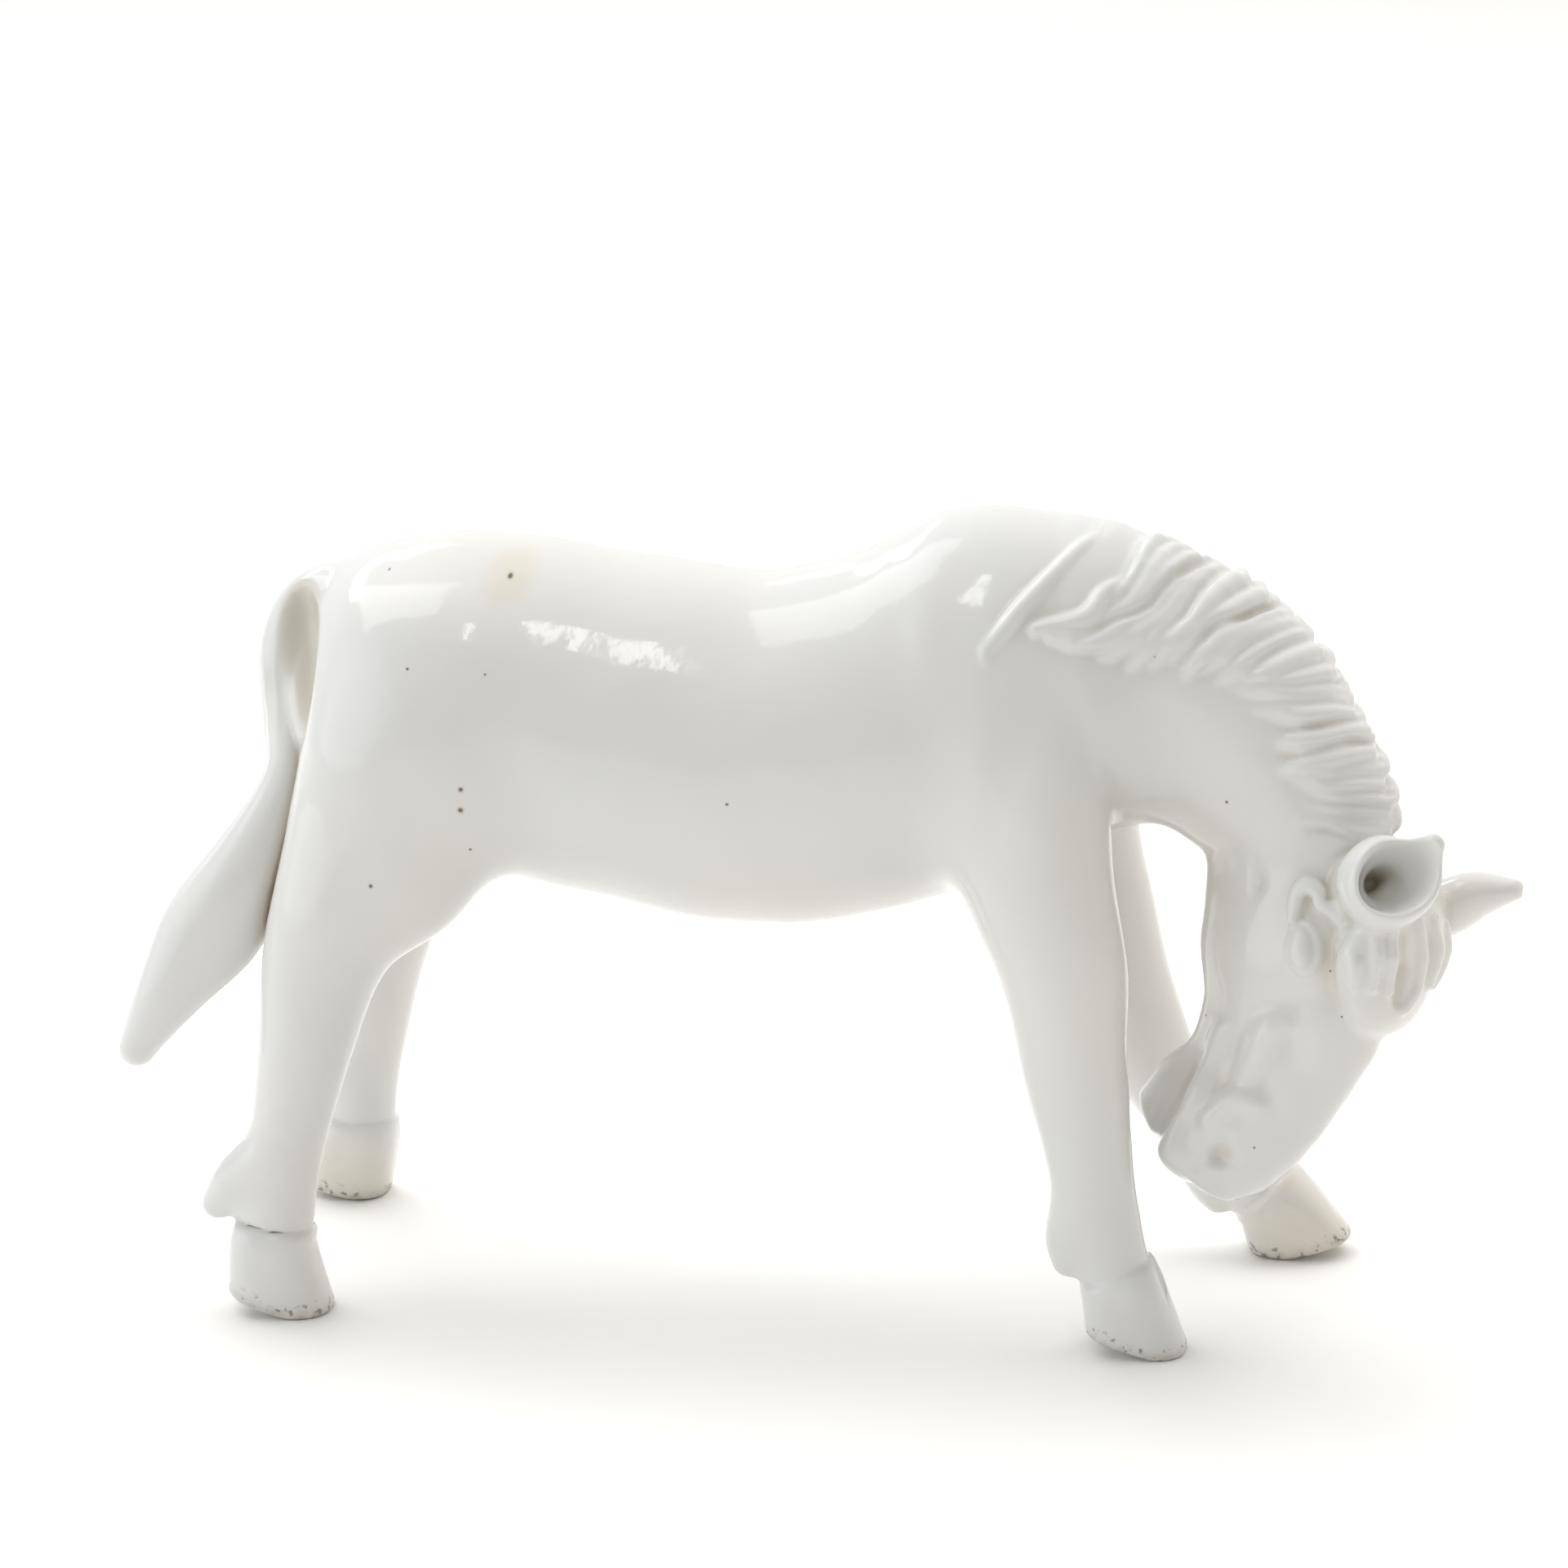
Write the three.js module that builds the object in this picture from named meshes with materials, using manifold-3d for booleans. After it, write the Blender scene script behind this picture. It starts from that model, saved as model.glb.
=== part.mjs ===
// Porcelain horse figurine, built the way the clay is put together: a hollow trunk pressed in two
// moulded halves, then a neck, a turned head, four legs with their hooves, a tail, and the small
// pieces that are rolled, combed and set on by hand. Each piece is luted to its neighbour with a
// layer of slip. Nothing on it moves.
// Millimetres, +Z up. The nose end is +X, and the horse's own left side is +Y.
import * as THREE from "three";
import { mergeVertices } from "three/addons/utils/BufferGeometryUtils.js";
import Module from "manifold-3d";

const wasm = await Module();
wasm.setup();

// Main sizes. The trunk runs from buttock to breast, with its width and depth at the barrel and its
// middle at its height above the table. It is pressed with a wall, and a vent in the belly lets the
// hollow breathe in the kiln. Buttock and breast are how far its ends are domed.
const TRUNK = { length: 71, width: 31.6, depth: 32.5, height: 55, wall: 4, buttock: 3, breast: 5 };
const VENT = { along: 0.49, radius: 1.2 };

// The layer of slip between luted pieces.
const SLIP_JOINT = 0.3;

// Neck: its root is set back from the breast, and rises over the trunk's middle. From there it reaches
// forward and falls to the poll, where the head hangs.
const NECK = { set: 12, rise: 5, reach: 34.5, fall: 16, width: 21, depth: 25.5 };

// Head: its length from poll to lips, its width and depth at the cheeks, and the domes of its two ends.
// It nods past the vertical, leans, and turns to its right, in degrees.
const HEAD = { length: 31.7, width: 15, depth: 18.4, crown: 2.5, lips: 1.7 };
const HEAD_POSE = { nod: 105.6, lean: -17.2, turn: -24.3 };

// Legs: how far they are set in from the end of the trunk, their stride ahead from there, how far out
// they stand from the middle, and their width and depth at the shoulder or thigh.
const HINDLEG = { set: 13, stride: -15.1, stance: 15.4, width: 14, depth: 21 };
const FORELEG = { set: 5.5, width: 12.8, depth: 16.4 };
const FORE_RIGHT = { stride: 9.7, stance: 12.1 };
const FORE_LEFT = { stride: 20.4, stance: 15.4 };
const LEG_TOP = 5;

// Tail: its dock is set in from the buttock, and rises over the trunk's middle. From there it reaches
// back, goes aside to the right and falls to its tip.
const TAIL = { set: 5, rise: 8, reach: 21.2, aside: 12, fall: 40.2, width: 7, depth: 8, dock: 1, tip: 2 };

// Rings of each piece, in shares of its sizes. A ring has its centre, its half-width, and how far it
// rises above and drops below that centre.
const TRUNK_RINGS = [
  { along: 0, sway: 0.077, wide: 0.253, rise: 0.277, drop: 0.308 },
  { along: 0.07, sway: 0.062, wide: 0.411, rise: 0.391, drop: 0.431 },
  { along: 0.197, sway: 0.015, wide: 0.481, rise: 0.471, drop: 0.477 },
  { along: 0.38, sway: -0.052, wide: 0.487, rise: 0.492, drop: 0.486 },
  { along: 0.577, sway: -0.098, wide: 0.5, rise: 0.498, drop: 0.502 },
  { along: 0.746, sway: -0.037, wide: 0.475, rise: 0.517, drop: 0.48 },
  { along: 0.887, sway: 0.046, wide: 0.427, rise: 0.563, drop: 0.431 },
  { along: 1, sway: 0.092, wide: 0.364, rise: 0.477, drop: 0.354 },
];
const NECK_RINGS = [
  { along: 0, aside: 0, fall: 0, wide: 0.5, rise: 0.486, drop: 0.471 },
  { along: 0.348, aside: 0, fall: -0.063, wide: 0.467, rise: 0.471, drop: 0.529 },
  { along: 0.652, aside: 0.019, fall: 0.156, wide: 0.41, rise: 0.416, drop: 0.463 },
  { along: 0.87, aside: 0.076, fall: 0.563, wide: 0.362, rise: 0.31, drop: 0.392 },
  { along: 1, aside: 0.143, fall: 1, wide: 0.314, rise: 0.235, drop: 0.314 },
];

// The head has a frame of its own: x runs from the poll to the lips, y to the horse's left and z out
// of the forehead.
const HEAD_RINGS = [
  { along: -0.063, bow: -0.027, wide: 0.4, rise: 0.299, drop: 0.326 },
  { along: 0.095, bow: 0, wide: 0.493, rise: 0.475, drop: 0.6 },
  { along: 0.284, bow: 0.016, wide: 0.5, rise: 0.55, drop: 0.51 },
  { along: 0.473, bow: 0.065, wide: 0.42, rise: 0.53, drop: 0.39 },
  { along: 0.647, bow: 0.087, wide: 0.36, rise: 0.435, drop: 0.37 },
  { along: 0.795, bow: 0.043, wide: 0.385, rise: 0.39, drop: 0.467 },
  { along: 0.925, bow: -0.02, wide: 0.37, rise: 0.36, drop: 0.41 },
];

// Leg rings go from inside the trunk down to the coronet, and up is a share of the trunk's height.
const HIND_RINGS = [
  { ahead: 0, out: 0.422, up: 1.091, wide: 0.429, rise: 0.333, drop: 0.31 },
  { ahead: 0.199, out: 0.597, up: 0.945, wide: 0.5, rise: 0.5, drop: 0.429 },
  { ahead: 0.384, out: 0.714, up: 0.782, wide: 0.457, rise: 0.452, drop: 0.419 },
  { ahead: 0.656, out: 0.838, up: 0.636, wide: 0.379, rise: 0.281, drop: 0.3 },
  { ahead: 0.801, out: 0.922, up: 0.473, wide: 0.314, rise: 0.21, drop: 0.214 },
  { ahead: 0.907, out: 0.974, up: 0.318, wide: 0.264, rise: 0.176, drop: 0.176 },
  { ahead: 0.974, out: 0.994, up: 0.218, wide: 0.25, rise: 0.167, drop: 0.181 },
  { ahead: 1, out: 1, up: 0.156, wide: 0.25, rise: 0.167, drop: 0.157 },
];
const FORE_RIGHT_RINGS = [
  { ahead: 0, out: 0.455, up: 1.109, wide: 0.43, rise: 0.366, drop: 0.396 },
  { ahead: 0.155, out: 0.711, up: 0.964, wide: 0.5, rise: 0.402, drop: 0.512 },
  { ahead: 0.278, out: 0.893, up: 0.8, wide: 0.453, rise: 0.384, drop: 0.451 },
  { ahead: 0.485, out: 1.008, up: 0.655, wide: 0.391, rise: 0.348, drop: 0.354 },
  { ahead: 0.639, out: 1.058, up: 0.487, wide: 0.336, rise: 0.28, drop: 0.293 },
  { ahead: 0.784, out: 1.041, up: 0.32, wide: 0.289, rise: 0.232, drop: 0.238 },
  { ahead: 0.876, out: 1.017, up: 0.207, wide: 0.281, rise: 0.232, drop: 0.244 },
  { ahead: 1, out: 1, up: 0.142, wide: 0.273, rise: 0.201, drop: 0.189 },
];
const FORE_LEFT_RINGS = [
  { ahead: 0, out: 0.357, up: 1.109, wide: 0.43, rise: 0.366, drop: 0.396 },
  { ahead: 0.074, out: 0.558, up: 0.945, wide: 0.5, rise: 0.488, drop: 0.512 },
  { ahead: 0.123, out: 0.701, up: 0.764, wide: 0.453, rise: 0.402, drop: 0.427 },
  { ahead: 0.245, out: 0.792, up: 0.6, wide: 0.391, rise: 0.341, drop: 0.341 },
  { ahead: 0.392, out: 0.87, up: 0.435, wide: 0.344, rise: 0.293, drop: 0.293 },
  { ahead: 0.564, out: 0.935, up: 0.304, wide: 0.305, rise: 0.244, drop: 0.244 },
  { ahead: 0.77, out: 0.974, up: 0.202, wide: 0.281, rise: 0.226, drop: 0.238 },
  { ahead: 1, out: 1, up: 0.116, wide: 0.273, rise: 0.207, drop: 0.201 },
];
const TAIL_RINGS = [
  { back: 0, aside: 0, fall: 0, wide: 0.429, rise: 0.325, drop: 0.325 },
  { back: 0.264, aside: 0, fall: -0.025, wide: 0.429, rise: 0.325, drop: 0.35 },
  { back: 0.382, aside: 0.083, fall: 0.095, wide: 0.429, rise: 0.288, drop: 0.375 },
  { back: 0.382, aside: 0.25, fall: 0.251, wide: 0.414, rise: 0.275, drop: 0.35 },
  { back: 0.387, aside: 0.5, fall: 0.388, wide: 0.429, rise: 0.325, drop: 0.325 },
  { back: 0.509, aside: 0.75, fall: 0.567, wide: 0.486, rise: 0.5, drop: 0.45 },
  { back: 0.67, aside: 0.883, fall: 0.714, wide: 0.5, rise: 0.5, drop: 0.5 },
  { back: 0.84, aside: 0.967, fall: 0.858, wide: 0.429, rise: 0.375, drop: 0.425 },
  { back: 1, aside: 1, fall: 1, wide: 0.314, rise: 0.25, drop: 0.275 },
];

// Tuft behind each fetlock: places above the coronet and behind the middle of the pastern.
const HIND_TUFT_RINGS = [
  { above: 6.5, behind: 0.6, radius: 2.8 },
  { above: 3.6, behind: 3.2, radius: 2.8 },
  { above: 0.7, behind: 5.5, radius: 1.5 },
];
const FORE_TUFT_RINGS = [
  { above: 6, behind: 0.8, radius: 2.6 },
  { above: 3.8, behind: 2.8, radius: 2.4 },
  { above: 1.6, behind: 3.9, radius: 1.5 },
];
const TUFT_TIP = 1;

// Hooves: a lip under the coronet, and a wall that widens to the sole. A sole has how far its middle
// lies ahead of the coronet and outside it, its length and width, and the slope in degrees at which
// its heel (or its toe, if less than zero) is lifted off the table. Flat is the share of its length
// that stays on the table, and the trim is what the table takes off.
const HOOF_LIP = 0.3;
const HOOF_SQUARE = 2.7;
const SOLE_FLAT = 0.35;
const SOLE_TRIM = 1;
const HIND_RIGHT_SOLE = { ahead: 0.4, outside: -0.2, length: 10.2, width: 7.2, lift: 16 };
const HIND_LEFT_SOLE = { ahead: -1.7, outside: 1.4, length: 8.2, width: 7, lift: 12 };
const FORE_RIGHT_SOLE = { ahead: 2.5, outside: -0.2, length: 9.2, width: 7, lift: 16 };
const FORE_LEFT_SOLE = { ahead: 4.7, outside: 0.8, length: 10.6, width: 7, lift: -16 };

// Places on the head are shares of its length, from the poll, and of its depth, towards the forehead.
// Mouth: a slit round the front of the muzzle, from its corner. Nostrils: a dimple on each side.
const MOUTH = { corner: 0.694, height: -0.158, gape: 0.7, depth: 1.3 };
const NOSTRIL = { along: 0.868, height: 0.185, length: 3, width: 1.7, depth: 0.8 };

// Eyes: clay pellets. Brows: a roll of clay laid in a wave above each eye.
const EYE = { along: 0.203, height: 0.212, length: 3.7, width: 2.1, stands: 1.3 };
const BROW_PATH = [[0.125, 0.07], [0.08, 0.062], [0.045, 0.12], [0.055, 0.2], [0.095, 0.3]];
const BROW_RADIUS = 0.8;

// Ears: they point out from beside the poll, at an angle from the forehead in degrees. Along an ear,
// reach runs from its root to its tip and drawn is the way its tip is swept back, in shares of its
// length and sweep. The right one is an open cup, and the left one is pinched into a horn. Each has a
// hollow scooped from its front.
const EAR = { length: 8.6, sweep: 5, width: 7.6, depth: 8.4, tip: 0.7 };
const EAR_ROOT = { along: 0.016, angle: 41.5 };
const CUP_RINGS = [
  { reach: -0.291, drawn: 0, wide: 0.36, deep: 0.33 },
  { reach: 0.151, drawn: 0, wide: 0.41, deep: 0.37 },
  { reach: 0.512, drawn: 0.1, wide: 0.53, deep: 0.53 },
  { reach: 0.791, drawn: 0.46, wide: 0.42, deep: 0.42 },
  { reach: 1, drawn: 0.98, wide: 0.13, deep: 0.12 },
];
const CUP_HOLLOW_RINGS = [
  { reach: 0.2, drawn: -0.08, wide: 0.132, deep: 0.119 },
  { reach: 0.512, drawn: -0.06, wide: 0.25, deep: 0.226 },
  { reach: 0.744, drawn: -0.14, wide: 0.395, deep: 0.357 },
  { reach: 1.209, drawn: -0.32, wide: 0.605, deep: 0.571 },
];
const HORN_RINGS = [
  { reach: -0.291, drawn: 0, wide: 0.34, deep: 0.42 },
  { reach: 0.1, drawn: 0, wide: 0.355, deep: 0.42 },
  { reach: 0.42, drawn: 0.08, wide: 0.35, deep: 0.4 },
  { reach: 0.72, drawn: 0.42, wide: 0.27, deep: 0.32 },
  { reach: 1, drawn: 1, wide: 0.125, deep: 0.14 },
];
const HORN_HOLLOW_RINGS = [
  { reach: 0.15, drawn: -0.4, wide: 0.07, deep: 0.11 },
  { reach: 0.38, drawn: -0.45, wide: 0.17, deep: 0.26 },
  { reach: 0.6, drawn: -0.28, wide: 0.16, deep: 0.25 },
  { reach: 0.82, drawn: 0.05, wide: 0.08, deep: 0.13 },
];
const EAR_RIGHT = {
  direction: [-0.43, -0.68, 0.58],
  back: [-0.93, 0, 0.59],
  rings: CUP_RINGS,
  hollow: CUP_HOLLOW_RINGS,
};
const EAR_LEFT = {
  direction: [-0.33, 0.68, 0.63],
  back: [-0.17, -0.84, 0.51],
  rings: HORN_RINGS,
  hollow: HORN_HOLLOW_RINGS,
};

// Mane and forelock: combed clay over the crest of the neck and over the forehead. Spreads are in
// degrees from the crest. From and to are shares of the neck's length, or of the head's, and so are the
// mane's trail, by which the locks over the withers sweep back, and its ease from withers to neck.
const MANE = { from: 0.22, to: 0.985, spread: 66, stands: 1.9, locks: 16, trail: 0.2, ease: 0.06 };
const FORELOCK = { from: -0.047, to: 0.35, spread: 38, stands: 2.6, locks: 5 };
const COMB_DEPTH = 0.7;
const COMB_EDGE = 0.7;

// Facets round a piece, and rows of them in each span between two rings.
const FACETS = { trunk: 28, cavity: 12, neck: 22, head: 22, leg: 16, tuft: 8, hoof: 16, tail: 14, ear: 12 };
const ROWS = { trunk: 3, cavity: 1, neck: 3, head: 3, leg: 2, tuft: 2, hoof: 2, tail: 2, ear: 2 };
const DOME_ROWS = 3;

const RIGHT = -1;
const LEFT = 1;
const LEFTWARD = new THREE.Vector3(0, 1, 0);

const finish = (color, roughness) => new THREE.MeshStandardMaterial({ color, roughness, metalness: 0 });
const clearGlaze = () => finish(0xf1efea, 0.12);
const wornGlaze = () => finish(0xe4ded3, 0.35);

// A closed skin through oval rings on a curved spine. Angles round a ring are in radians from its
// crest, towards the left.
class Loft {
  constructor(rings, { domes = [0, 0], lefts = [LEFTWARD, LEFTWARD], square = 2 } = {}) {
    const curve = (points) => new THREE.CatmullRomCurve3(points, false, "catmullrom");
    this.spine = curve(rings.map((ring) => new THREE.Vector3(...ring.at)));
    this.sizes = curve(rings.map((ring) => new THREE.Vector3(ring.wide, ring.rise, ring.drop)));
    this.spans = rings.length - 1;
    this.domes = domes;
    this.lefts = lefts;
    this.square = square;
  }

  // Centre, directions and sizes of the ring at a place t from 0 to 1 along the spine.
  ring(t) {
    const centre = this.spine.getPoint(t);
    const forward = this.spine.getTangent(t);
    const left = this.lefts[0].clone().lerp(this.lefts[1], t);
    left.addScaledVector(forward, -left.dot(forward)).normalize();
    const up = forward.clone().cross(left);
    const [wide, rise, drop] = this.sizes.getPoint(t).toArray();
    return { centre, forward, left, up, wide, rise, drop };
  }

  // The place along a spine that runs mainly in x at which it passes a given x.
  placeAt(x) {
    const [start, end] = [this.spine.getPoint(0).x, this.spine.getPoint(1).x];
    let t = (x - start) / (end - start);
    for (let pass = 0; pass < 12; pass++) t += (x - this.spine.getPoint(t).x) / (end - start);
    return t;
  }

  // A point on the skin, or lifted off it. Scale and slide shape the domed ends.
  point(t, angle, lift = 0, scale = 1, slide = 0) {
    const { centre, forward, left, up, wide, rise, drop } = this.ring(t);
    const [across, along] = [Math.sin(angle), Math.cos(angle)].map(
      (part) => Math.sign(part) * Math.abs(part) ** (2 / this.square) * scale);
    centre.addScaledVector(left, across * (wide + lift));
    centre.addScaledVector(up, along * ((along > 0 ? rise : drop) + lift));
    return centre.addScaledVector(forward, slide);
  }

  // Whether a point lies inside the skin, for a spine that runs mainly in x.
  holds(point) {
    const t = THREE.MathUtils.clamp(this.placeAt(point.x), 0, 1);
    const { centre, forward, left, up, wide, rise, drop } = this.ring(t);
    const from = point.clone().sub(centre);
    const [past, high] = [from.dot(forward), from.dot(up)];
    const dome = t === 0 ? this.domes[0] : t === 1 ? this.domes[1] : Infinity;
    return Math.hypot(past / dome, from.dot(left) / wide, high / (high > 0 ? rise : drop)) < 1;
  }

  // The loft as a body, grown outwards on all sides.
  solid(facets, rowsPerSpan, grow = 0) {
    const [startDome, endDome] = this.domes.map((length) => Math.max(length + grow, 0));
    const dome = (t, length, row) => {
      const turn = (row / DOME_ROWS) * (Math.PI / 2);
      return { t, scale: Math.cos(turn), slide: length * Math.sin(turn) };
    };
    const rows = [];
    if (startDome) for (let row = DOME_ROWS - 1; row > 0; row--) rows.push(dome(0, -startDome, row));
    const steps = this.spans * rowsPerSpan;
    for (let step = 0; step <= steps; step++) rows.push({ t: step / steps, scale: 1, slide: 0 });
    if (endDome) for (let row = 1; row < DOME_ROWS; row++) rows.push(dome(1, endDome, row));

    const points = [];
    for (const { t, scale, slide } of rows)
      for (let facet = 0; facet < facets; facet++)
        points.push(this.point(t, (2 * Math.PI * facet) / facets, grow, scale, slide));
    const startPole = points.push(this.point(0, 0, 0, 0, -startDome)) - 1;
    const endPole = points.push(this.point(1, 0, 0, 0, endDome)) - 1;

    const faces = [];
    const last = rows.length - 1;
    const at = (row, facet) => row * facets + (facet % facets);
    for (let facet = 0; facet < facets; facet++) {
      faces.push(startPole, at(0, facet), at(0, facet + 1));
      faces.push(endPole, at(last, facet + 1), at(last, facet));
      for (let row = 0; row < last; row++) {
        faces.push(at(row, facet), at(row + 1, facet), at(row + 1, facet + 1));
        faces.push(at(row, facet), at(row + 1, facet + 1), at(row, facet + 1));
      }
    }
    return solidFrom(points, faces);
  }
}

function solidFrom(points, faces) {
  const vertProperties = new Float32Array(points.flatMap((point) => point.toArray()));
  const triVerts = new Uint32Array(faces);
  return new wasm.Manifold(new wasm.Mesh({ numProp: 3, vertProperties, triVerts }));
}

function solidOf(geometry) {
  const bare = mergeVertices(geometry.clone().deleteAttribute("normal").deleteAttribute("uv"), 1e-4);
  const vertProperties = bare.getAttribute("position").array;
  const triVerts = new Uint32Array(bare.index.array);
  return new wasm.Manifold(new wasm.Mesh({ numProp: 3, vertProperties, triVerts }));
}

function pieceMesh(name, solid, material = clearGlaze()) {
  const { vertProperties, triVerts } = solid.getMesh();
  const geometry = new THREE.BufferGeometry();
  geometry.setAttribute("position", new THREE.BufferAttribute(vertProperties, 3));
  geometry.setIndex(new THREE.BufferAttribute(triVerts, 1));
  geometry.computeVertexNormals();
  const mesh = new THREE.Mesh(geometry, material);
  mesh.name = name;
  return mesh;
}

// What is left of a piece once its neighbours are cut away: its largest body, without crumbs.
function cutBack(solid, ...neighbours) {
  const rest = neighbours.reduce((left, neighbour) => left.subtract(neighbour), solid);
  return rest.decompose().reduce((most, body) => (body.volume() > most.volume() ? body : most));
}

// A sheet of combed clay. Its grid has rows along it and columns across it, place(along, across, lift)
// gives the points, with along from 0 to 1 and across from -1 to 1, and ridge(along, across) is 1 on
// top of a lock and 0 between two. Its underside lies inside the piece that it is laid on.
function combedSheet(rows, columns, stands, place, ridge) {
  const thickness = (along, across) => {
    const ends = Math.sqrt(Math.max(0, 1 - (2 * along - 1) ** 6));
    const sides = Math.sqrt(Math.max(0, 1 - across ** 4));
    return COMB_EDGE + (stands - COMB_EDGE - COMB_DEPTH * (1 - ridge(along, across))) * ends * sides;
  };
  const points = [];
  for (const side of ["top", "under"])
    for (let row = 0; row <= rows; row++)
      for (let column = 0; column <= columns; column++) {
        const [along, across] = [row / rows, (2 * column) / columns - 1];
        points.push(place(along, across, side === "top" ? thickness(along, across) : -COMB_EDGE));
      }
  const faces = [];
  const quad = (a, b, c, d) => faces.push(a, b, c, a, c, d);
  const top = (row, column) => row * (columns + 1) + column;
  const under = (row, column) => (rows + 1) * (columns + 1) + top(row, column);
  for (let row = 0; row < rows; row++) {
    for (let column = 0; column < columns; column++) {
      quad(top(row, column), top(row + 1, column), top(row + 1, column + 1), top(row, column + 1));
      quad(under(row, column + 1), under(row + 1, column + 1), under(row + 1, column), under(row, column));
    }
    quad(under(row, 0), under(row + 1, 0), top(row + 1, 0), top(row, 0));
    quad(top(row, columns), top(row + 1, columns), under(row + 1, columns), under(row, columns));
  }
  for (let column = 0; column < columns; column++) {
    quad(top(0, column), top(0, column + 1), under(0, column + 1), under(0, column));
    quad(under(rows, column), under(rows, column + 1), top(rows, column + 1), top(rows, column));
  }
  return solidFrom(points, faces);
}

const degrees = THREE.MathUtils.degToRad;
const lock = (phase) => Math.abs(Math.sin(Math.PI * phase));

// A piece's rings at their real sizes. Place gives the centre of each.
const sized = (rings, { width, depth }, place) =>
  rings.map((ring) => ({
    at: place(ring),
    wide: ring.wide * width,
    rise: ring.rise * depth,
    drop: ring.drop * depth,
  }));

// Trunk: a pressed shell, split down the middle.
const buttockX = -TRUNK.length / 2;
const breastX = TRUNK.length / 2;
const trunkLoft = new Loft(
  sized(TRUNK_RINGS, TRUNK, ({ along, sway }) => [
    buttockX + along * TRUNK.length,
    0,
    TRUNK.height + sway * TRUNK.depth,
  ]),
  { domes: [TRUNK.buttock, TRUNK.breast] },
);
const trunkRoom = trunkLoft.solid(FACETS.trunk, ROWS.trunk, SLIP_JOINT);

function trunkHalf(side) {
  const outside = trunkLoft.solid(FACETS.trunk, ROWS.trunk);
  const cavity = trunkLoft.solid(FACETS.cavity, ROWS.cavity, -TRUNK.wall);
  const { min, max } = outside.boundingBox();
  const span = new THREE.Box3(new THREE.Vector3(...min), new THREE.Vector3(...max));
  const middle = span.getCenter(new THREE.Vector3());
  const size = span.getSize(new THREE.Vector3());
  const vent = new THREE.CylinderGeometry(VENT.radius, VENT.radius, size.z, 16).rotateX(Math.PI / 2);
  vent.translate(buttockX + VENT.along * TRUNK.length, 0, middle.z - size.z / 2);
  const block = new THREE.BoxGeometry(2 * size.x, size.y, 2 * size.z);
  block.translate(middle.x, side * (size.y + SLIP_JOINT) / 2, middle.z);
  return outside.subtract(cavity).subtract(solidOf(vent)).intersect(solidOf(block));
}

// Neck, whose sides turn with the head that hangs from its end.
const { lean, nod, turn } = HEAD_POSE;
const headTurn = new THREE.Euler(degrees(lean), degrees(nod), degrees(turn), "ZXY");
const neckLoft = new Loft(
  sized(NECK_RINGS, NECK, ({ along, aside, fall }) => [
    breastX - NECK.set + along * NECK.reach,
    -aside * NECK.width,
    TRUNK.height + NECK.rise - fall * NECK.fall,
  ]),
  { lefts: [LEFTWARD, LEFTWARD.clone().applyEuler(headTurn)] },
);
const neckRoom = neckLoft.solid(FACETS.neck, ROWS.neck, SLIP_JOINT);

// Head and its frame.
const poll = neckLoft.ring(1).centre;
const headPlacement = new THREE.Matrix4().makeRotationFromEuler(headTurn).setPosition(poll);
const hung = (solid) => solid.transform(headPlacement.elements);
const headLoft = new Loft(
  sized(HEAD_RINGS, HEAD, ({ along, bow }) => [along * HEAD.length, 0, bow * HEAD.depth]),
  { domes: [HEAD.crown, HEAD.lips] },
);
const headRoom = headLoft.solid(FACETS.head, ROWS.head, SLIP_JOINT);
const headPlace = (along) => headLoft.placeAt(along * HEAD.length);

// A point on the side of the head.
function onCheek(along, height, side) {
  const t = headPlace(along);
  const { centre, rise, drop } = headLoft.ring(t);
  const high = height * HEAD.depth - centre.z;
  return headLoft.point(t, side * Math.acos(high / (high > 0 ? rise : drop)));
}

// An oval pellet seated on the side of the head, with its length along the head.
function pellet({ along, height, length, width }, side, depth, grow = 0) {
  const seat = onCheek(along, height, side);
  const out = new THREE.Vector3(0, seat.y, seat.z).normalize();
  const noseward = new THREE.Vector3(1, 0, 0);
  const oval = new THREE.SphereGeometry(1, 14, 9);
  oval.scale(length / 2 + grow, width / 2 + grow, depth + grow);
  const setting = new THREE.Matrix4().makeBasis(noseward, out.clone().cross(noseward), out);
  return solidOf(oval.applyMatrix4(setting.setPosition(seat)));
}

function head() {
  const corner = MOUTH.corner * HEAD.length;
  const length = HEAD.length + HEAD.lips - corner;
  const slab = new THREE.BoxGeometry(length, 2 * HEAD.width, MOUTH.gape);
  slab.translate(corner + length / 2, 0, MOUTH.height * HEAD.depth);
  const slit = solidOf(slab).subtract(headLoft.solid(FACETS.head, ROWS.head, -MOUTH.depth));
  const nostrils = [RIGHT, LEFT].map((side) => pellet(NOSTRIL, side, NOSTRIL.depth));
  return cutBack(headLoft.solid(FACETS.head, ROWS.head), slit, ...nostrils);
}

const eye = (side) => cutBack(pellet(EYE, side, EYE.stands), headRoom);

function brow(side) {
  const laid = BROW_PATH.map(([along, height]) => onCheek(along, height, side));
  const extrudePath = new THREE.CatmullRomCurve3(laid);
  const round = new THREE.Shape().absarc(0, 0, BROW_RADIUS, 0, 2 * Math.PI);
  const rolled = { extrudePath, steps: 12, curveSegments: 5, bevelEnabled: false };
  const roll = new THREE.ExtrudeGeometry(round, rolled);
  const eyeRoom = pellet(EYE, side, EYE.stands, SLIP_JOINT);
  return cutBack(solidOf(roll), headRoom, eyeRoom, earBody(side, SLIP_JOINT));
}

const earSet = (side) => (side === RIGHT ? EAR_RIGHT : EAR_LEFT);

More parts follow.
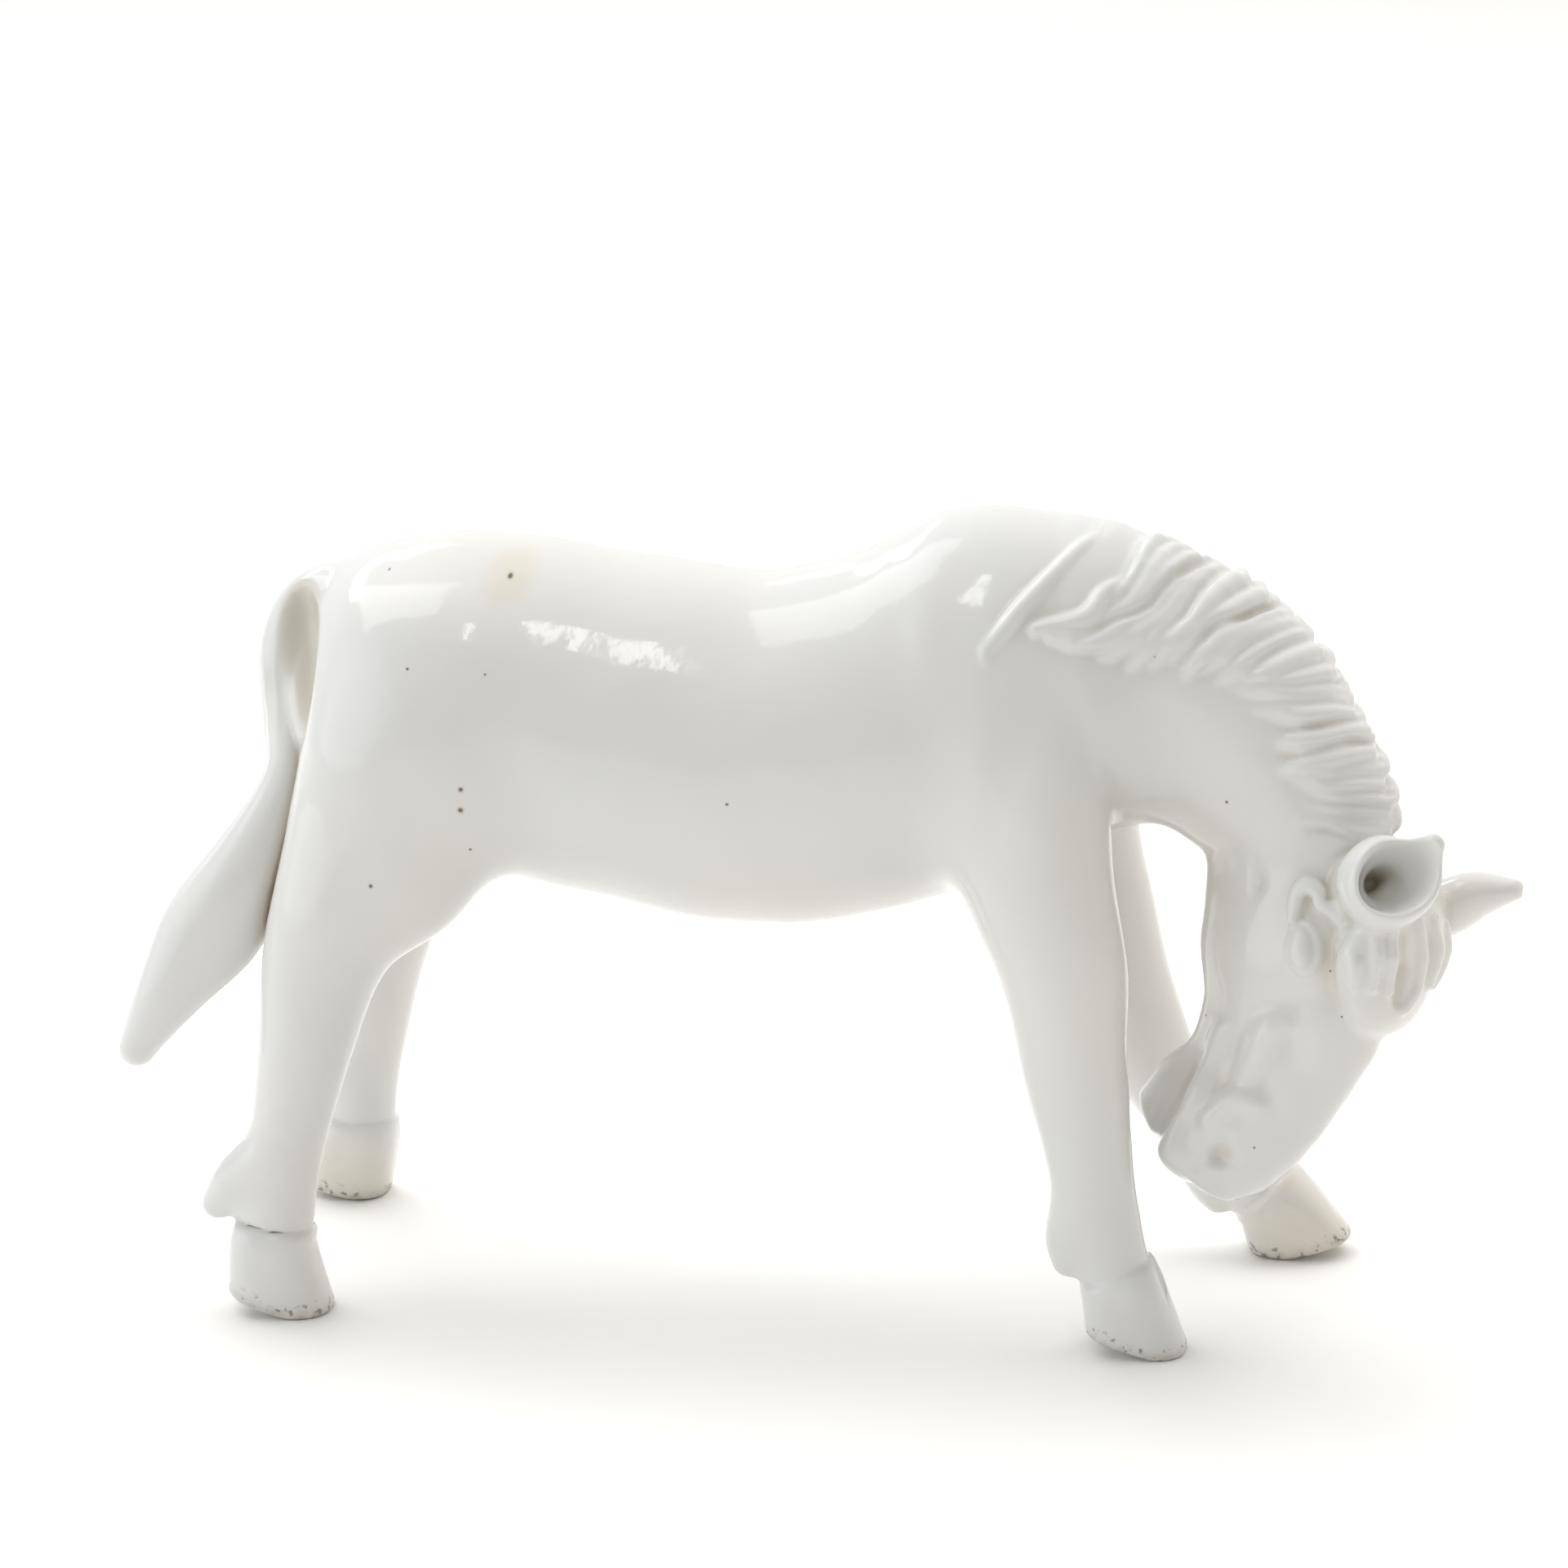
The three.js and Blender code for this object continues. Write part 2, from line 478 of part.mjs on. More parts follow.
function earLoft(rings, side) {
  const direction = new THREE.Vector3(...earSet(side).direction).normalize();
  const back = new THREE.Vector3(...earSet(side).back);
  back.addScaledVector(direction, -back.dot(direction)).normalize();
  const root = headLoft.point(headPlace(EAR_ROOT.along), side * degrees(EAR_ROOT.angle));
  const placed = rings.map(({ reach, drawn, wide, deep }) => {
    const at = root.clone().addScaledVector(direction, reach * EAR.length);
    at.addScaledVector(back, drawn * EAR.sweep);
    const half = deep * EAR.depth;
    return { at: at.toArray(), wide: wide * EAR.width, rise: half, drop: half };
  });
  const left = back.clone().cross(direction);
  return new Loft(placed, { domes: [0, EAR.tip], lefts: [left, left] });
}

const earBody = (side, grow = 0) => earLoft(earSet(side).rings, side).solid(FACETS.ear, ROWS.ear, grow);

function ear(side) {
  const hollow = earLoft(earSet(side).hollow, side).solid(FACETS.ear, ROWS.ear);
  return cutBack(earBody(side).subtract(hollow), headRoom);
}

const earRooms = [RIGHT, LEFT].map((side) => earBody(side, SLIP_JOINT));

function forelock() {
  const { from, to, spread, stands, locks } = FORELOCK;
  const place = (along, across, lift) =>
    headLoft.point(headPlace(from + (to - from) * along), degrees(spread) * across, lift);
  const ridge = (along, across) => lock((locks * (across + 1)) / 2);
  const sheet = combedSheet(8, locks * 4, stands, place, ridge);
  return cutBack(sheet, headRoom, ...earRooms);
}

const hungRooms = [headRoom, ...earRooms].map(hung);
const neck = () => cutBack(neckLoft.solid(FACETS.neck, ROWS.neck), trunkRoom, ...hungRooms);

// The ray from the neck's spine to its skin, made longer over the withers, where the trunk's skin
// stands further out.
function crestRay(t, angle) {
  const { centre } = neckLoft.ring(t);
  const ray = neckLoft.point(t, angle).sub(centre);
  while (trunkLoft.holds(centre.clone().add(ray))) ray.setLength(ray.length() + 0.05);
  return ray;
}

function overCrest(t, angle, lift) {
  const near = [-MANE.ease, 0, MANE.ease].map((step) => THREE.MathUtils.clamp(t + step, 0, 1));
  const reach = near.reduce((sum, place) => sum + crestRay(place, angle).length(), 0) / near.length;
  return crestRay(t, angle).setLength(reach + lift).add(neckLoft.ring(t).centre);
}

function mane() {
  const { from, to, spread, stands, locks, trail } = MANE;
  const place = (along, across, lift) => {
    const swept = trail * Math.abs(across) * (1 - along) ** 2;
    return overCrest(from + (to - from) * along - swept, degrees(spread) * across, lift);
  };
  const sheet = combedSheet(locks * 4, 8, stands, place, (along) => lock(locks * along));
  return cutBack(sheet, neckRoom, trunkRoom, ...hungRooms);
}

// Legs and hooves
function legLoft({ rings, side, x, size }) {
  const place = ({ ahead, out, up }) => [
    x + ahead * size.stride,
    side * out * size.stance,
    up * TRUNK.height,
  ];
  return new Loft(sized(rings, size, place), { domes: [LEG_TOP, 0] });
}

function leg(limb) {
  const loft = legLoft(limb);
  const { centre, forward, up } = loft.ring(1);
  const tuft = limb.tuft.map(({ above, behind, radius }) => ({
    at: centre.clone().addScaledVector(forward, -above).addScaledVector(up, -behind).toArray(),
    wide: radius,
    rise: radius,
    drop: radius,
  }));
  const tuftBody = new Loft(tuft, { domes: [0, TUFT_TIP] }).solid(FACETS.tuft, ROWS.tuft);
  return loft.solid(FACETS.leg, ROWS.leg).add(tuftBody);
}

function hoof(limb) {
  const { centre, forward, wide, rise, drop } = legLoft(limb).ring(1);
  const { ahead, outside, length, width, lift } = limb.sole;
  const [x, y] = [centre.x + ahead, centre.y + limb.side * outside];
  const coronet = centre.addScaledVector(forward, SLIP_JOINT);
  const wall = coronet.clone().addScaledVector(forward, coronet.z / 3);
  const lipped = (at, lip) => ({ at: at.toArray(), wide: wide + lip, rise: rise + lip, drop: drop + lip });
  const sole = { at: [x, y, -SOLE_TRIM], wide: width / 2, rise: length / 2, drop: length / 2 };
  const rows = [lipped(coronet, HOOF_LIP), lipped(wall, 2 * HOOF_LIP), sole];
  const body = new Loft(rows, { square: HOOF_SQUARE }).solid(FACETS.hoof, ROWS.hoof);

  // The table takes off what hangs below it, and a wedge lifts the heel or the toe.
  const room = 4 * length;
  const table = new THREE.BoxGeometry(2 * room, 2 * room, room).translate(x, y, -room / 2);
  const lifted = Math.sign(lift);
  const wedge = new THREE.BoxGeometry(room, 2 * room, room).translate((-lifted * room) / 2, 0, -room / 2);
  wedge.rotateY(degrees(lift)).translate(x + lifted * (0.5 - SOLE_FLAT) * length, y, 0);
  return body.subtract(solidOf(table)).subtract(solidOf(wedge));
}

const HIND = { end: "hind", x: buttockX + HINDLEG.set, tuft: HIND_TUFT_RINGS };
const FORE = { end: "fore", x: breastX - FORELEG.set, tuft: FORE_TUFT_RINGS };
const LIMBS = [
  { ...HIND, name: "right", side: RIGHT, size: HINDLEG, rings: HIND_RINGS, sole: HIND_RIGHT_SOLE },
  { ...HIND, name: "left", side: LEFT, size: HINDLEG, rings: HIND_RINGS, sole: HIND_LEFT_SOLE },
  {
    ...FORE,
    name: "right",
    side: RIGHT,
    size: { ...FORELEG, ...FORE_RIGHT },
    rings: FORE_RIGHT_RINGS,
    sole: FORE_RIGHT_SOLE,
  },
  {
    ...FORE,
    name: "left",
    side: LEFT,
    size: { ...FORELEG, ...FORE_LEFT },
    rings: FORE_LEFT_RINGS,
    sole: FORE_LEFT_SOLE,
  },
];

function tail() {
  const hindRooms = LIMBS.filter((limb) => limb.end === "hind").map((limb) =>
    legLoft(limb).solid(FACETS.leg, ROWS.leg, SLIP_JOINT));
  const place = ({ back, aside, fall }) => [
    buttockX + TAIL.set - back * TAIL.reach,
    -aside * TAIL.aside,
    TRUNK.height + TAIL.rise - fall * TAIL.fall,
  ];
  const loft = new Loft(sized(TAIL_RINGS, TAIL, place), { domes: [TAIL.dock, TAIL.tip] });
  return cutBack(loft.solid(FACETS.tail, ROWS.tail), trunkRoom, ...hindRooms);
}

// Assembly
const horse = new THREE.Group();
const headGroup = new THREE.Group();
headGroup.position.copy(poll);
headGroup.rotation.copy(headTurn);
headGroup.add(pieceMesh("head", head()), pieceMesh("forelock", forelock()));
for (const [name, side] of [["right", RIGHT], ["left", LEFT]]) {
  horse.add(pieceMesh(`trunk_${name}_half`, trunkHalf(side)));
  headGroup.add(pieceMesh(`ear_${name}`, ear(side)));
  headGroup.add(pieceMesh(`eye_${name}`, eye(side)));
  headGroup.add(pieceMesh(`brow_${name}`, brow(side)));
}
horse.add(headGroup, pieceMesh("neck", neck()), pieceMesh("mane", mane()), pieceMesh("tail", tail()));
for (const limb of LIMBS) {
  horse.add(pieceMesh(`${limb.end}leg_${limb.name}`, cutBack(leg(limb), trunkRoom, neckRoom)));
  horse.add(pieceMesh(`hoof_${limb.end}_${limb.name}`, hoof(limb), wornGlaze()));
}

// The figurine stands on z = 0, with its origin under the middle of its outline.
const outline = new THREE.Box3().setFromObject(horse, true);
const underneath = outline.getCenter(new THREE.Vector3()).setZ(outline.min.z);
horse.position.copy(underneath).negate();

const figurine = new THREE.Group();
figurine.add(horse);
export default figurine;
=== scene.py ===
"""White porcelain horse figurine under one clear glaze.

The smooth forms are modelled as a maker does it, in clay: each piece is rolled or pressed from rings
on a bent spine, luted to its neighbours, carved, combed and softened by the glaze. The clay is kept
as signed distances on a fine grid, and its skin is then cut into the figurine's own pieces, one for
each piece of the CAD frame, whose sizes and places it follows.
"""

import logging
import math
from collections.abc import Callable, Sequence
from dataclasses import dataclass, field
from enum import Enum

import bpy
import numpy as np
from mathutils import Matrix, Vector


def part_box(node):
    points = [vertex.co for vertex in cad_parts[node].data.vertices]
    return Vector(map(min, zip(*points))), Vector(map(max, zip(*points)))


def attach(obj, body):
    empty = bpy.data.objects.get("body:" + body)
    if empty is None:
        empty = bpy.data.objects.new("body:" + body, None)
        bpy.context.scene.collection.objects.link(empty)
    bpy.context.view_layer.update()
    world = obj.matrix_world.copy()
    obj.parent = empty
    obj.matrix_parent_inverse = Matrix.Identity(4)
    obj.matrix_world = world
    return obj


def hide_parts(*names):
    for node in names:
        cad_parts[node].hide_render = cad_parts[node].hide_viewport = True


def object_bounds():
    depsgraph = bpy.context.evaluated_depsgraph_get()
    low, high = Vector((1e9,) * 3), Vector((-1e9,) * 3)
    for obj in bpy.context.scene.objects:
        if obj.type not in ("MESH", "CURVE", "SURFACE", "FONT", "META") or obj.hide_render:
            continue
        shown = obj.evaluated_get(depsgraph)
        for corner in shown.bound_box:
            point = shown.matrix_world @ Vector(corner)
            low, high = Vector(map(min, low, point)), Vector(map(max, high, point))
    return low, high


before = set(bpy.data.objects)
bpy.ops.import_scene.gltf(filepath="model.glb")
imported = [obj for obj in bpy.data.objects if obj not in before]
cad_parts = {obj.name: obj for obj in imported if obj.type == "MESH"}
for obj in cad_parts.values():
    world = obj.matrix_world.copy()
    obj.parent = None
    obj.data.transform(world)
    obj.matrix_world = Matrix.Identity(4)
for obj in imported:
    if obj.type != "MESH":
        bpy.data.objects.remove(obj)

import openvdb as vdb
from mathutils import Euler, Matrix, Vector

CAD_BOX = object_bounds()
MM = 0.001
TINY = 1e-9
LOG = logging.getLogger("figurine")

Pair = tuple[float, float]
Triple = tuple[float, float, float]
Row = tuple[float, ...]
Rows = tuple[Row, ...]
Line = tuple[Pair, ...]
Window = tuple[slice, slice, slice]


class Side(Enum):
    """The horse's own right and left, as the sign of y."""

    RIGHT = -1
    LEFT = 1


class Slot(Enum):
    """Material slots."""

    CLEAR = "clear_glaze"
    WORN = "worn_glaze"


# ---------------------------------------------------------------------------------------------------
# Curves and lofts
# ---------------------------------------------------------------------------------------------------


class Spline:
    """A smooth curve through points, evenly paced from each point to the next."""

    def __init__(self, points: Sequence[Sequence[float]]) -> None:
        """Keep the points, with one more before the first and after the last.

        Args:
            points: Places that the curve passes through, or sizes.
        """
        inner = np.asarray(points, float)
        first = 2 * inner[0] - inner[1]
        last = 2 * inner[-1] - inner[-2]
        self.knots = np.vstack([first, inner, last])
        self.spans = len(inner) - 1

    def _span(self, t: np.ndarray) -> tuple[np.ndarray, np.ndarray]:
        """The spans in which places lie.

        Args:
            t: Places from 0 to 1 along the curve.

        Returns:
            The number of each place's span, and the share of the span that is passed.
        """
        place = np.clip(t, 0, 1) * self.spans
        number = np.minimum(place.astype(int), self.spans - 1)
        return number, (place - number)[..., None]

    def at(self, t: np.ndarray) -> np.ndarray:
        """Points on the curve.

        Args:
            t: Places from 0 to 1 along it.

        Returns:
            One point for each place.
        """
        number, w = self._span(np.asarray(t, float))
        a, b, c, d = (self.knots[number + step] for step in range(4))
        start, end = (c - a) / 2, (d - b) / 2
        w2, w3 = w * w, w * w * w
        through = (2 * w3 - 3 * w2 + 1) * b + (w3 - 2 * w2 + w) * start
        return through + (3 * w2 - 2 * w3) * c + (w3 - w2) * end

    def heading(self, t: np.ndarray) -> np.ndarray:
        """Directions of the curve, of length 1.

        Args:
            t: Places from 0 to 1 along it.

        Returns:
            One direction for each place.
        """
        number, w = self._span(np.asarray(t, float))
        a, b, c, d = (self.knots[number + step] for step in range(4))
        start, end = (c - a) / 2, (d - b) / 2
        w2 = w * w
        slope = 6 * (w2 - w) * b + (3 * w2 - 4 * w + 1) * start + 6 * (w - w2) * c + (3 * w2 - 2 * w) * end
        return slope / np.linalg.norm(slope, axis=-1, keepdims=True)


@dataclass(frozen=True)
class Ring:
    """One oval section of a loft, in mm: its centre, half-width, and reach above and below the centre."""

    at: Triple
    wide: float
    rise: float
    drop: float


def ringed(rows: Rows, place: Callable[..., Triple], width: float, depth: float) -> list[Ring]:
    """Rings from rows of shares.

    Args:
        rows: For each ring the shares that give its place, then its half-width, rise and drop.
        place: Turns the first shares into the ring's centre.
        width: The width that the half-widths are shares of.
        depth: The depth that the rises and drops are shares of.

    Returns:
        The rings.
    """
    return [
        Ring(place(*where), wide * width, rise * depth, drop * depth) for *where, wide, rise, drop in rows
    ]


@dataclass
class Solid:
    """A closed skin of four-sided faces, in mm."""

    points: np.ndarray
    faces: np.ndarray

    def placed(self, matrix: Matrix) -> "Solid":
        """The same skin moved by a matrix."""
        turn = np.array(matrix.to_3x3())
        return Solid(self.points @ turn.T + np.array(matrix.translation), self.faces)


class Loft:
    """A closed skin through oval rings on a curved spine.

    Angles round a ring are in radians from its crest, towards the left.
    """

    def __init__(
        self,
        rings: Sequence[Ring],
        domes: tuple[float, float] = (0, 0),
        lefts: tuple[Triple, Triple] = ((0, 1, 0), (0, 1, 0)),
        square: float = 2,
    ) -> None:
        """Lay the spine and the sizes through the rings.

        Args:
            rings: Sections from one end to the other.
            domes: How far the two ends are domed, in mm.
            lefts: Directions that the rings' left sides face at the two ends.
            square: 2 for oval rings, more for squarer ones.
        """
        self.spine = Spline([ring.at for ring in rings])
        self.sizes = Spline([(ring.wide, ring.rise, ring.drop) for ring in rings])
        self.domes = domes
        self.lefts = np.asarray(lefts, float)
        self.square = square

    def axes(self, t: np.ndarray) -> tuple[np.ndarray, np.ndarray, np.ndarray, np.ndarray]:
        """Centres and directions of rings.

        Args:
            t: Places from 0 to 1 along the spine.

        Returns:
            Centres, and the directions forward, left and up.
        """
        t = np.asarray(t, float)
        centre, forward = self.spine.at(t), self.spine.heading(t)
        left = self.lefts[0] + (self.lefts[1] - self.lefts[0]) * t[..., None]
        left = left - forward * np.sum(left * forward, axis=-1, keepdims=True)
        left = left / np.linalg.norm(left, axis=-1, keepdims=True)
        return centre, forward, left, np.cross(forward, left)

    def skin(
        self,
        t: np.ndarray | float,
        angle: np.ndarray | float,
        lift: float = 0,
        scale: np.ndarray | float = 1.0,
        slide: np.ndarray | float = 0.0,
    ) -> np.ndarray:
        """Points on the skin, or lifted off it.

        Args:
            t: Places along the spine.
            angle: Angles round the rings.
            lift: Distance off the skin.
            scale: Share of the ring's size, less than 1 in the domed ends.
            slide: Distance along the spine, used in the domed ends.

        Returns:
            One point for each place and angle.
        """
        parts = (np.asarray(part, float) for part in (t, angle, scale, slide))
        t, angle, scale, slide = np.broadcast_arrays(*parts)
        centre, forward, left, up = self.axes(t)
        wide, rise, drop = np.moveaxis(self.sizes.at(t), -1, 0)
        power = 2 / self.square
        across, along = (np.sign(p) * np.abs(p) ** power * scale for p in (np.sin(angle), np.cos(angle)))
        high = np.where(along > 0, rise, drop)
        out = left * (across * (wide + lift))[..., None] + up * (along * (high + lift))[..., None]
        return centre + out + forward * slide[..., None]

    def place_at(self, x: float) -> float:
        """The place at which a spine that runs mainly in x passes a given x.

        Args:
            x: The x, in mm.

        Returns:
            The place, from 0 to 1.
        """
        rounds = 12
        start, end = self.spine.at(np.array([0.0, 1.0]))[:, 0]
        t = (x - start) / (end - start)
        for _ in range(rounds):
            t += (x - float(self.spine.at(np.array(t))[0])) / (end - start)
        return t

    def solid(self, facets: int = 96, rows: int = 14) -> Solid:
        """The loft as a closed skin.

        Args:
            facets: Faces round a ring.
            rows: Rows of faces in each span and in each dome.

        Returns:
            The skin.
        """
        steps = self.spine.spans * rows
        turn = np.linspace(0, math.pi / 2, rows + 1)
        body = np.linspace(0, 1, steps + 1)
        t = np.concatenate([np.zeros(rows), body, np.ones(rows)])
        scale = np.concatenate([np.cos(turn[:0:-1]), np.ones(steps + 1), np.cos(turn[1:])])
        slide = np.concatenate(
            [-self.domes[0] * np.sin(turn[:0:-1]), np.zeros(steps + 1), self.domes[1] * np.sin(turn[1:])]
        )
        angle = np.linspace(0, 2 * math.pi, facets, endpoint=False)
        points = self.skin(t[:, None], angle[None, :], 0, scale[:, None], slide[:, None])
        row, facet = np.meshgrid(np.arange(len(t) - 1), np.arange(facets), indexing="ij")
        after = (facet + 1) % facets
        here, there = row * facets, (row + 1) * facets
        corners = (here + facet, there + facet, there + after, here + after)
        faces = np.stack([corner.ravel() for corner in corners], axis=1)
        return Solid(points.reshape(-1, 3), faces)


# ---------------------------------------------------------------------------------------------------
# Clay
# ---------------------------------------------------------------------------------------------------


def smooth(value: np.ndarray, low: float, high: float) -> np.ndarray:
    """A soft step from 0 at low to 1 at high."""
    share = np.clip((value - low) / (high - low), 0, 1)
    return share * share * (3 - 2 * share)


def shaped(run: np.ndarray, profile: Line) -> np.ndarray:
    """Values of a profile, given as places and values, at other places."""
    return np.interp(run, *zip(*profile))


@dataclass
class Lump:
    """Signed distances of one form, in mm, in a window of the clay's grid."""

    window: Window
    near: np.ndarray


@dataclass
class Skin:
    """The clay's outside: points and normals, faces, and the piece that each face belongs to."""

    LID_DEPTH = 2.5
    LID_SHARES = (0.05, 0.1, 0.2, 0.35, 0.5, 0.7, 0.9)
    LID_SLOPE = 0.2
    LID_FAR = 1.5

    points: np.ndarray
    normals: np.ndarray
    faces: np.ndarray
    owners: np.ndarray

    def split(self, chosen: np.ndarray) -> "Skin":
        """The skin with some of its faces split in four.

        Args:
            chosen: Whether each face is split.

        Returns:
            The finer skin, whose new points have no normals yet.
        """
        cut = self.faces[chosen]
        edges = np.sort(np.stack([cut, np.roll(cut, -1, axis=1)], axis=2).reshape(-1, 2), axis=1)
        pairs, number = np.unique(edges, axis=0, return_inverse=True)
        middle = number.reshape(cut.shape) + len(self.points)
        centre = np.arange(len(cut)) + len(self.points) + len(pairs)
        quarters = [np.stack([cut[:, i], middle[:, i], centre, middle[:, i - 1]], axis=1) for i in range(4)]
        points = np.concatenate([self.points, self.points[pairs].mean(1), self.points[cut].mean(1)])
        normals = np.concatenate([self.normals, np.zeros((len(points) - len(self.points), 3))])
        faces = np.concatenate([self.faces[~chosen], *quarters])
        owners = np.concatenate([self.owners[~chosen], np.tile(self.owners[chosen], 4)])
        return Skin(points, normals, faces, owners)

    def lids(self, faces: np.ndarray, clay: "Clay") -> tuple[np.ndarray, np.ndarray, np.ndarray, np.ndarray]:
        """Lids inside the clay that close a piece where it was cut from its neighbours.

        Args:
            faces: The piece's faces.
            clay: The clay. A cut whose lid would show outside it stays open.

        Returns:
            The lids' points, their normals, their three-sided faces, and the skin's point that each repeats.
        """
        edges = np.stack([faces, np.roll(faces, -1, axis=1)], axis=2).reshape(-1, 2)
        _, number, times = np.unique(np.sort(edges, axis=1), axis=0, return_inverse=True, return_counts=True)
        rim, ends = np.unique(edges[times[number.ravel()] == 1], return_inverse=True)
        ends = ends.reshape(-1, 2)
        ring = np.arange(len(rim))
        for _ in range(len(rim)):
            lowest = ring.copy()
            np.minimum.at(lowest, ends[:, 0], ring[ends[:, 1]])
            np.minimum.at(lowest, ends[:, 1], ring[ends[:, 0]])
            if np.array_equal(lowest, ring):
                break
            ring = lowest[lowest]
        _, first, ring = np.unique(ring, return_index=True, return_inverse=True)
        rings = len(first)

        def mean(owners: np.ndarray, values: np.ndarray) -> np.ndarray:
            """Mean of points or directions over each ring.

            Args:
                owners: The ring of each point.
                values: The points or directions.

            Returns:
                One mean for each ring.
            """
            sums = np.stack([np.bincount(owners, values[:, axis], rings) for axis in range(3)], axis=1)
            return sums / np.bincount(owners, minlength=rings)[:, None]

        middle = mean(ring, self.points[rim]) - self.LID_DEPTH * mean(ring, self.normals[rim])
        edge_ring = ring[ends[:, 0]]
        halfway = self.points[rim[ends]].mean(1)
        inward = middle[edge_ring] - halfway
        reach = np.linalg.norm(inward, axis=1)
        shows = np.zeros(len(ends), bool)
        for share in self.LID_SHARES:
            under = -clay.sample(halfway + share * inward)
            shows |= under < self.LID_SLOPE * np.minimum(share * reach, self.LID_FAR)
        good = np.bincount(edge_ring, shows, rings) == 0
        keep = good[edge_ring]
        points = np.concatenate([self.points[rim], middle])
        lids = np.stack([ends[:, 1], ends[:, 0], len(rim) + edge_ring], axis=1)[keep]
        a, b, c = (points[lids[:, corner]] for corner in range(3))
        facing = np.zeros((rings, 3))
        np.add.at(facing, edge_ring[keep], np.cross(b - a, c - a))
        facing /= np.maximum(np.linalg.norm(facing, axis=1, keepdims=True), TINY)
        normals = np.concatenate([facing[ring], facing])
        repeated = np.concatenate([rim, rim[first]])
        used, lids = np.unique(lids, return_inverse=True)
        return points[used], normals[used], lids.reshape(-1, 3), repeated[used]


class Clay:
    """A block of clay as signed distances in mm on a grid, less than zero inside."""

    REACH = 7.0
    SHARP = 1e-3
    WAVES = 10
    THUMB_BAND = 1.5
    SETTLE_ROUNDS = 2
    FLATTEST = 0.4
    RAY_STEPS = 160

    def __init__(self, low: Sequence[float], high: Sequence[float], grain: float) -> None:
        """Start with an empty block.

        Args:
            low: Lowest corner, in mm.
            high: Highest corner, in mm.
            grain: Size of a cell, in mm.
        """
        self.grain = grain
        self.first = np.floor(np.asarray(low) / grain).astype(int)
        self.count = np.ceil(np.asarray(high) / grain).astype(int) - self.first + 1
        self.field = np.full(self.count, self.REACH, np.float32)
        self.nearest = np.full(self.count, self.REACH, np.float32)
        self.owner = np.zeros(self.count, np.int8)
        self.pieces: list[str] = []

    @property
    def low(self) -> np.ndarray:
        """The block's lowest corner, in mm."""
        return self.first * self.grain

    @property
    def high(self) -> np.ndarray:
        """The block's highest corner, in mm."""
        return (self.first + self.count - 1) * self.grain

    def finer(self, low: Sequence[float], high: Sequence[float], grain: float) -> "Clay":
        """A finer block of the same clay, for small forms.

        Args:
            low: Its lowest corner, in mm.
            high: Its highest corner, in mm.
            grain: Size of its cells, in mm.

        Returns:
            The block.
        """
        block = Clay(low, high, grain)
        block.pieces = self.pieces
        lines = [side.ravel() for side in block.grid(tuple(slice(0, int(n)) for n in block.count))]
        block.field, block.owner = self.spread(self.field, lines), self.owner_at(lines)
        block.nearest = self.spread(self.nearest, lines)
        return block

    def take_in(self, block: "Clay") -> None:
        """Take over the forms that were added in a finer block.

        Args:
            block: The finer block.
        """
        rim = 1.0
        window = self.window(block.low + rim, block.high - rim)
        lines = [side.ravel() for side in self.grid(window)]
        self.field[window] = block.spread(block.field, lines)
        self.owner[window] = block.owner_at(lines)

    def spread(self, values: np.ndarray, lines: Sequence[np.ndarray]) -> np.ndarray:
        """Values kept on this block's grid, on the grid that three lines span.

        Args:
            values: The values.
            lines: Places along x, y and z, in mm.

        Returns:
            The values on the new grid.
        """
        for axis, line in enumerate(lines):
            place = np.clip(line / self.grain - self.first[axis], 0, self.count[axis] - 1.001)
            cell = place.astype(int)
            share = (place - cell).astype(np.float32).reshape([-1 if a == axis else 1 for a in range(3)])
            values = values.take(cell, axis) * (1 - share) + values.take(cell + 1, axis) * share
        return values

    def owner_at(self, lines: Sequence[np.ndarray]) -> np.ndarray:
        """The pieces that own the cells of the grid that three lines span.

        Args:
            lines: Places along x, y and z, in mm.

        Returns:
            The number of each cell's piece.
        """
        cells = [
            np.clip(np.round(line / self.grain).astype(int) - self.first[axis], 0, self.count[axis] - 1)
            for axis, line in enumerate(lines)
        ]
        return self.owner[np.ix_(*cells)]

    def owner_of(self, points: np.ndarray) -> np.ndarray:
        """The piece that owns each point."""
        cell = np.round(points / self.grain).astype(int) - self.first
        return self.owner[tuple(np.clip(cell, 0, self.count - 1).T)]

    def window(self, low: Sequence[float], high: Sequence[float]) -> Window:
        """The part of the grid between two corners.

        Args:
            low: Lowest corner, in mm.
            high: Highest corner, in mm.

        Returns:
            The window.
        """
        start = np.maximum(np.floor(np.asarray(low) / self.grain).astype(int) - self.first, 0)
        stop = np.minimum(np.ceil(np.asarray(high) / self.grain).astype(int) - self.first + 1, self.count)
        return tuple(slice(int(a), int(b)) for a, b in zip(start, stop))

    def grid(self, window: Window) -> list[np.ndarray]:
        """Places of a window's cells.

        Args:
            window: The window.

        Returns:
            Their x, y and z in mm, ready to be spread over the window.
        """
        sides = []
        for axis, part in enumerate(window):
            line = (np.arange(part.start, part.stop) + self.first[axis]) * self.grain
            shape = [1, 1, 1]
            shape[axis] = -1
            sides.append(line.astype(np.float32).reshape(shape))
        return sides

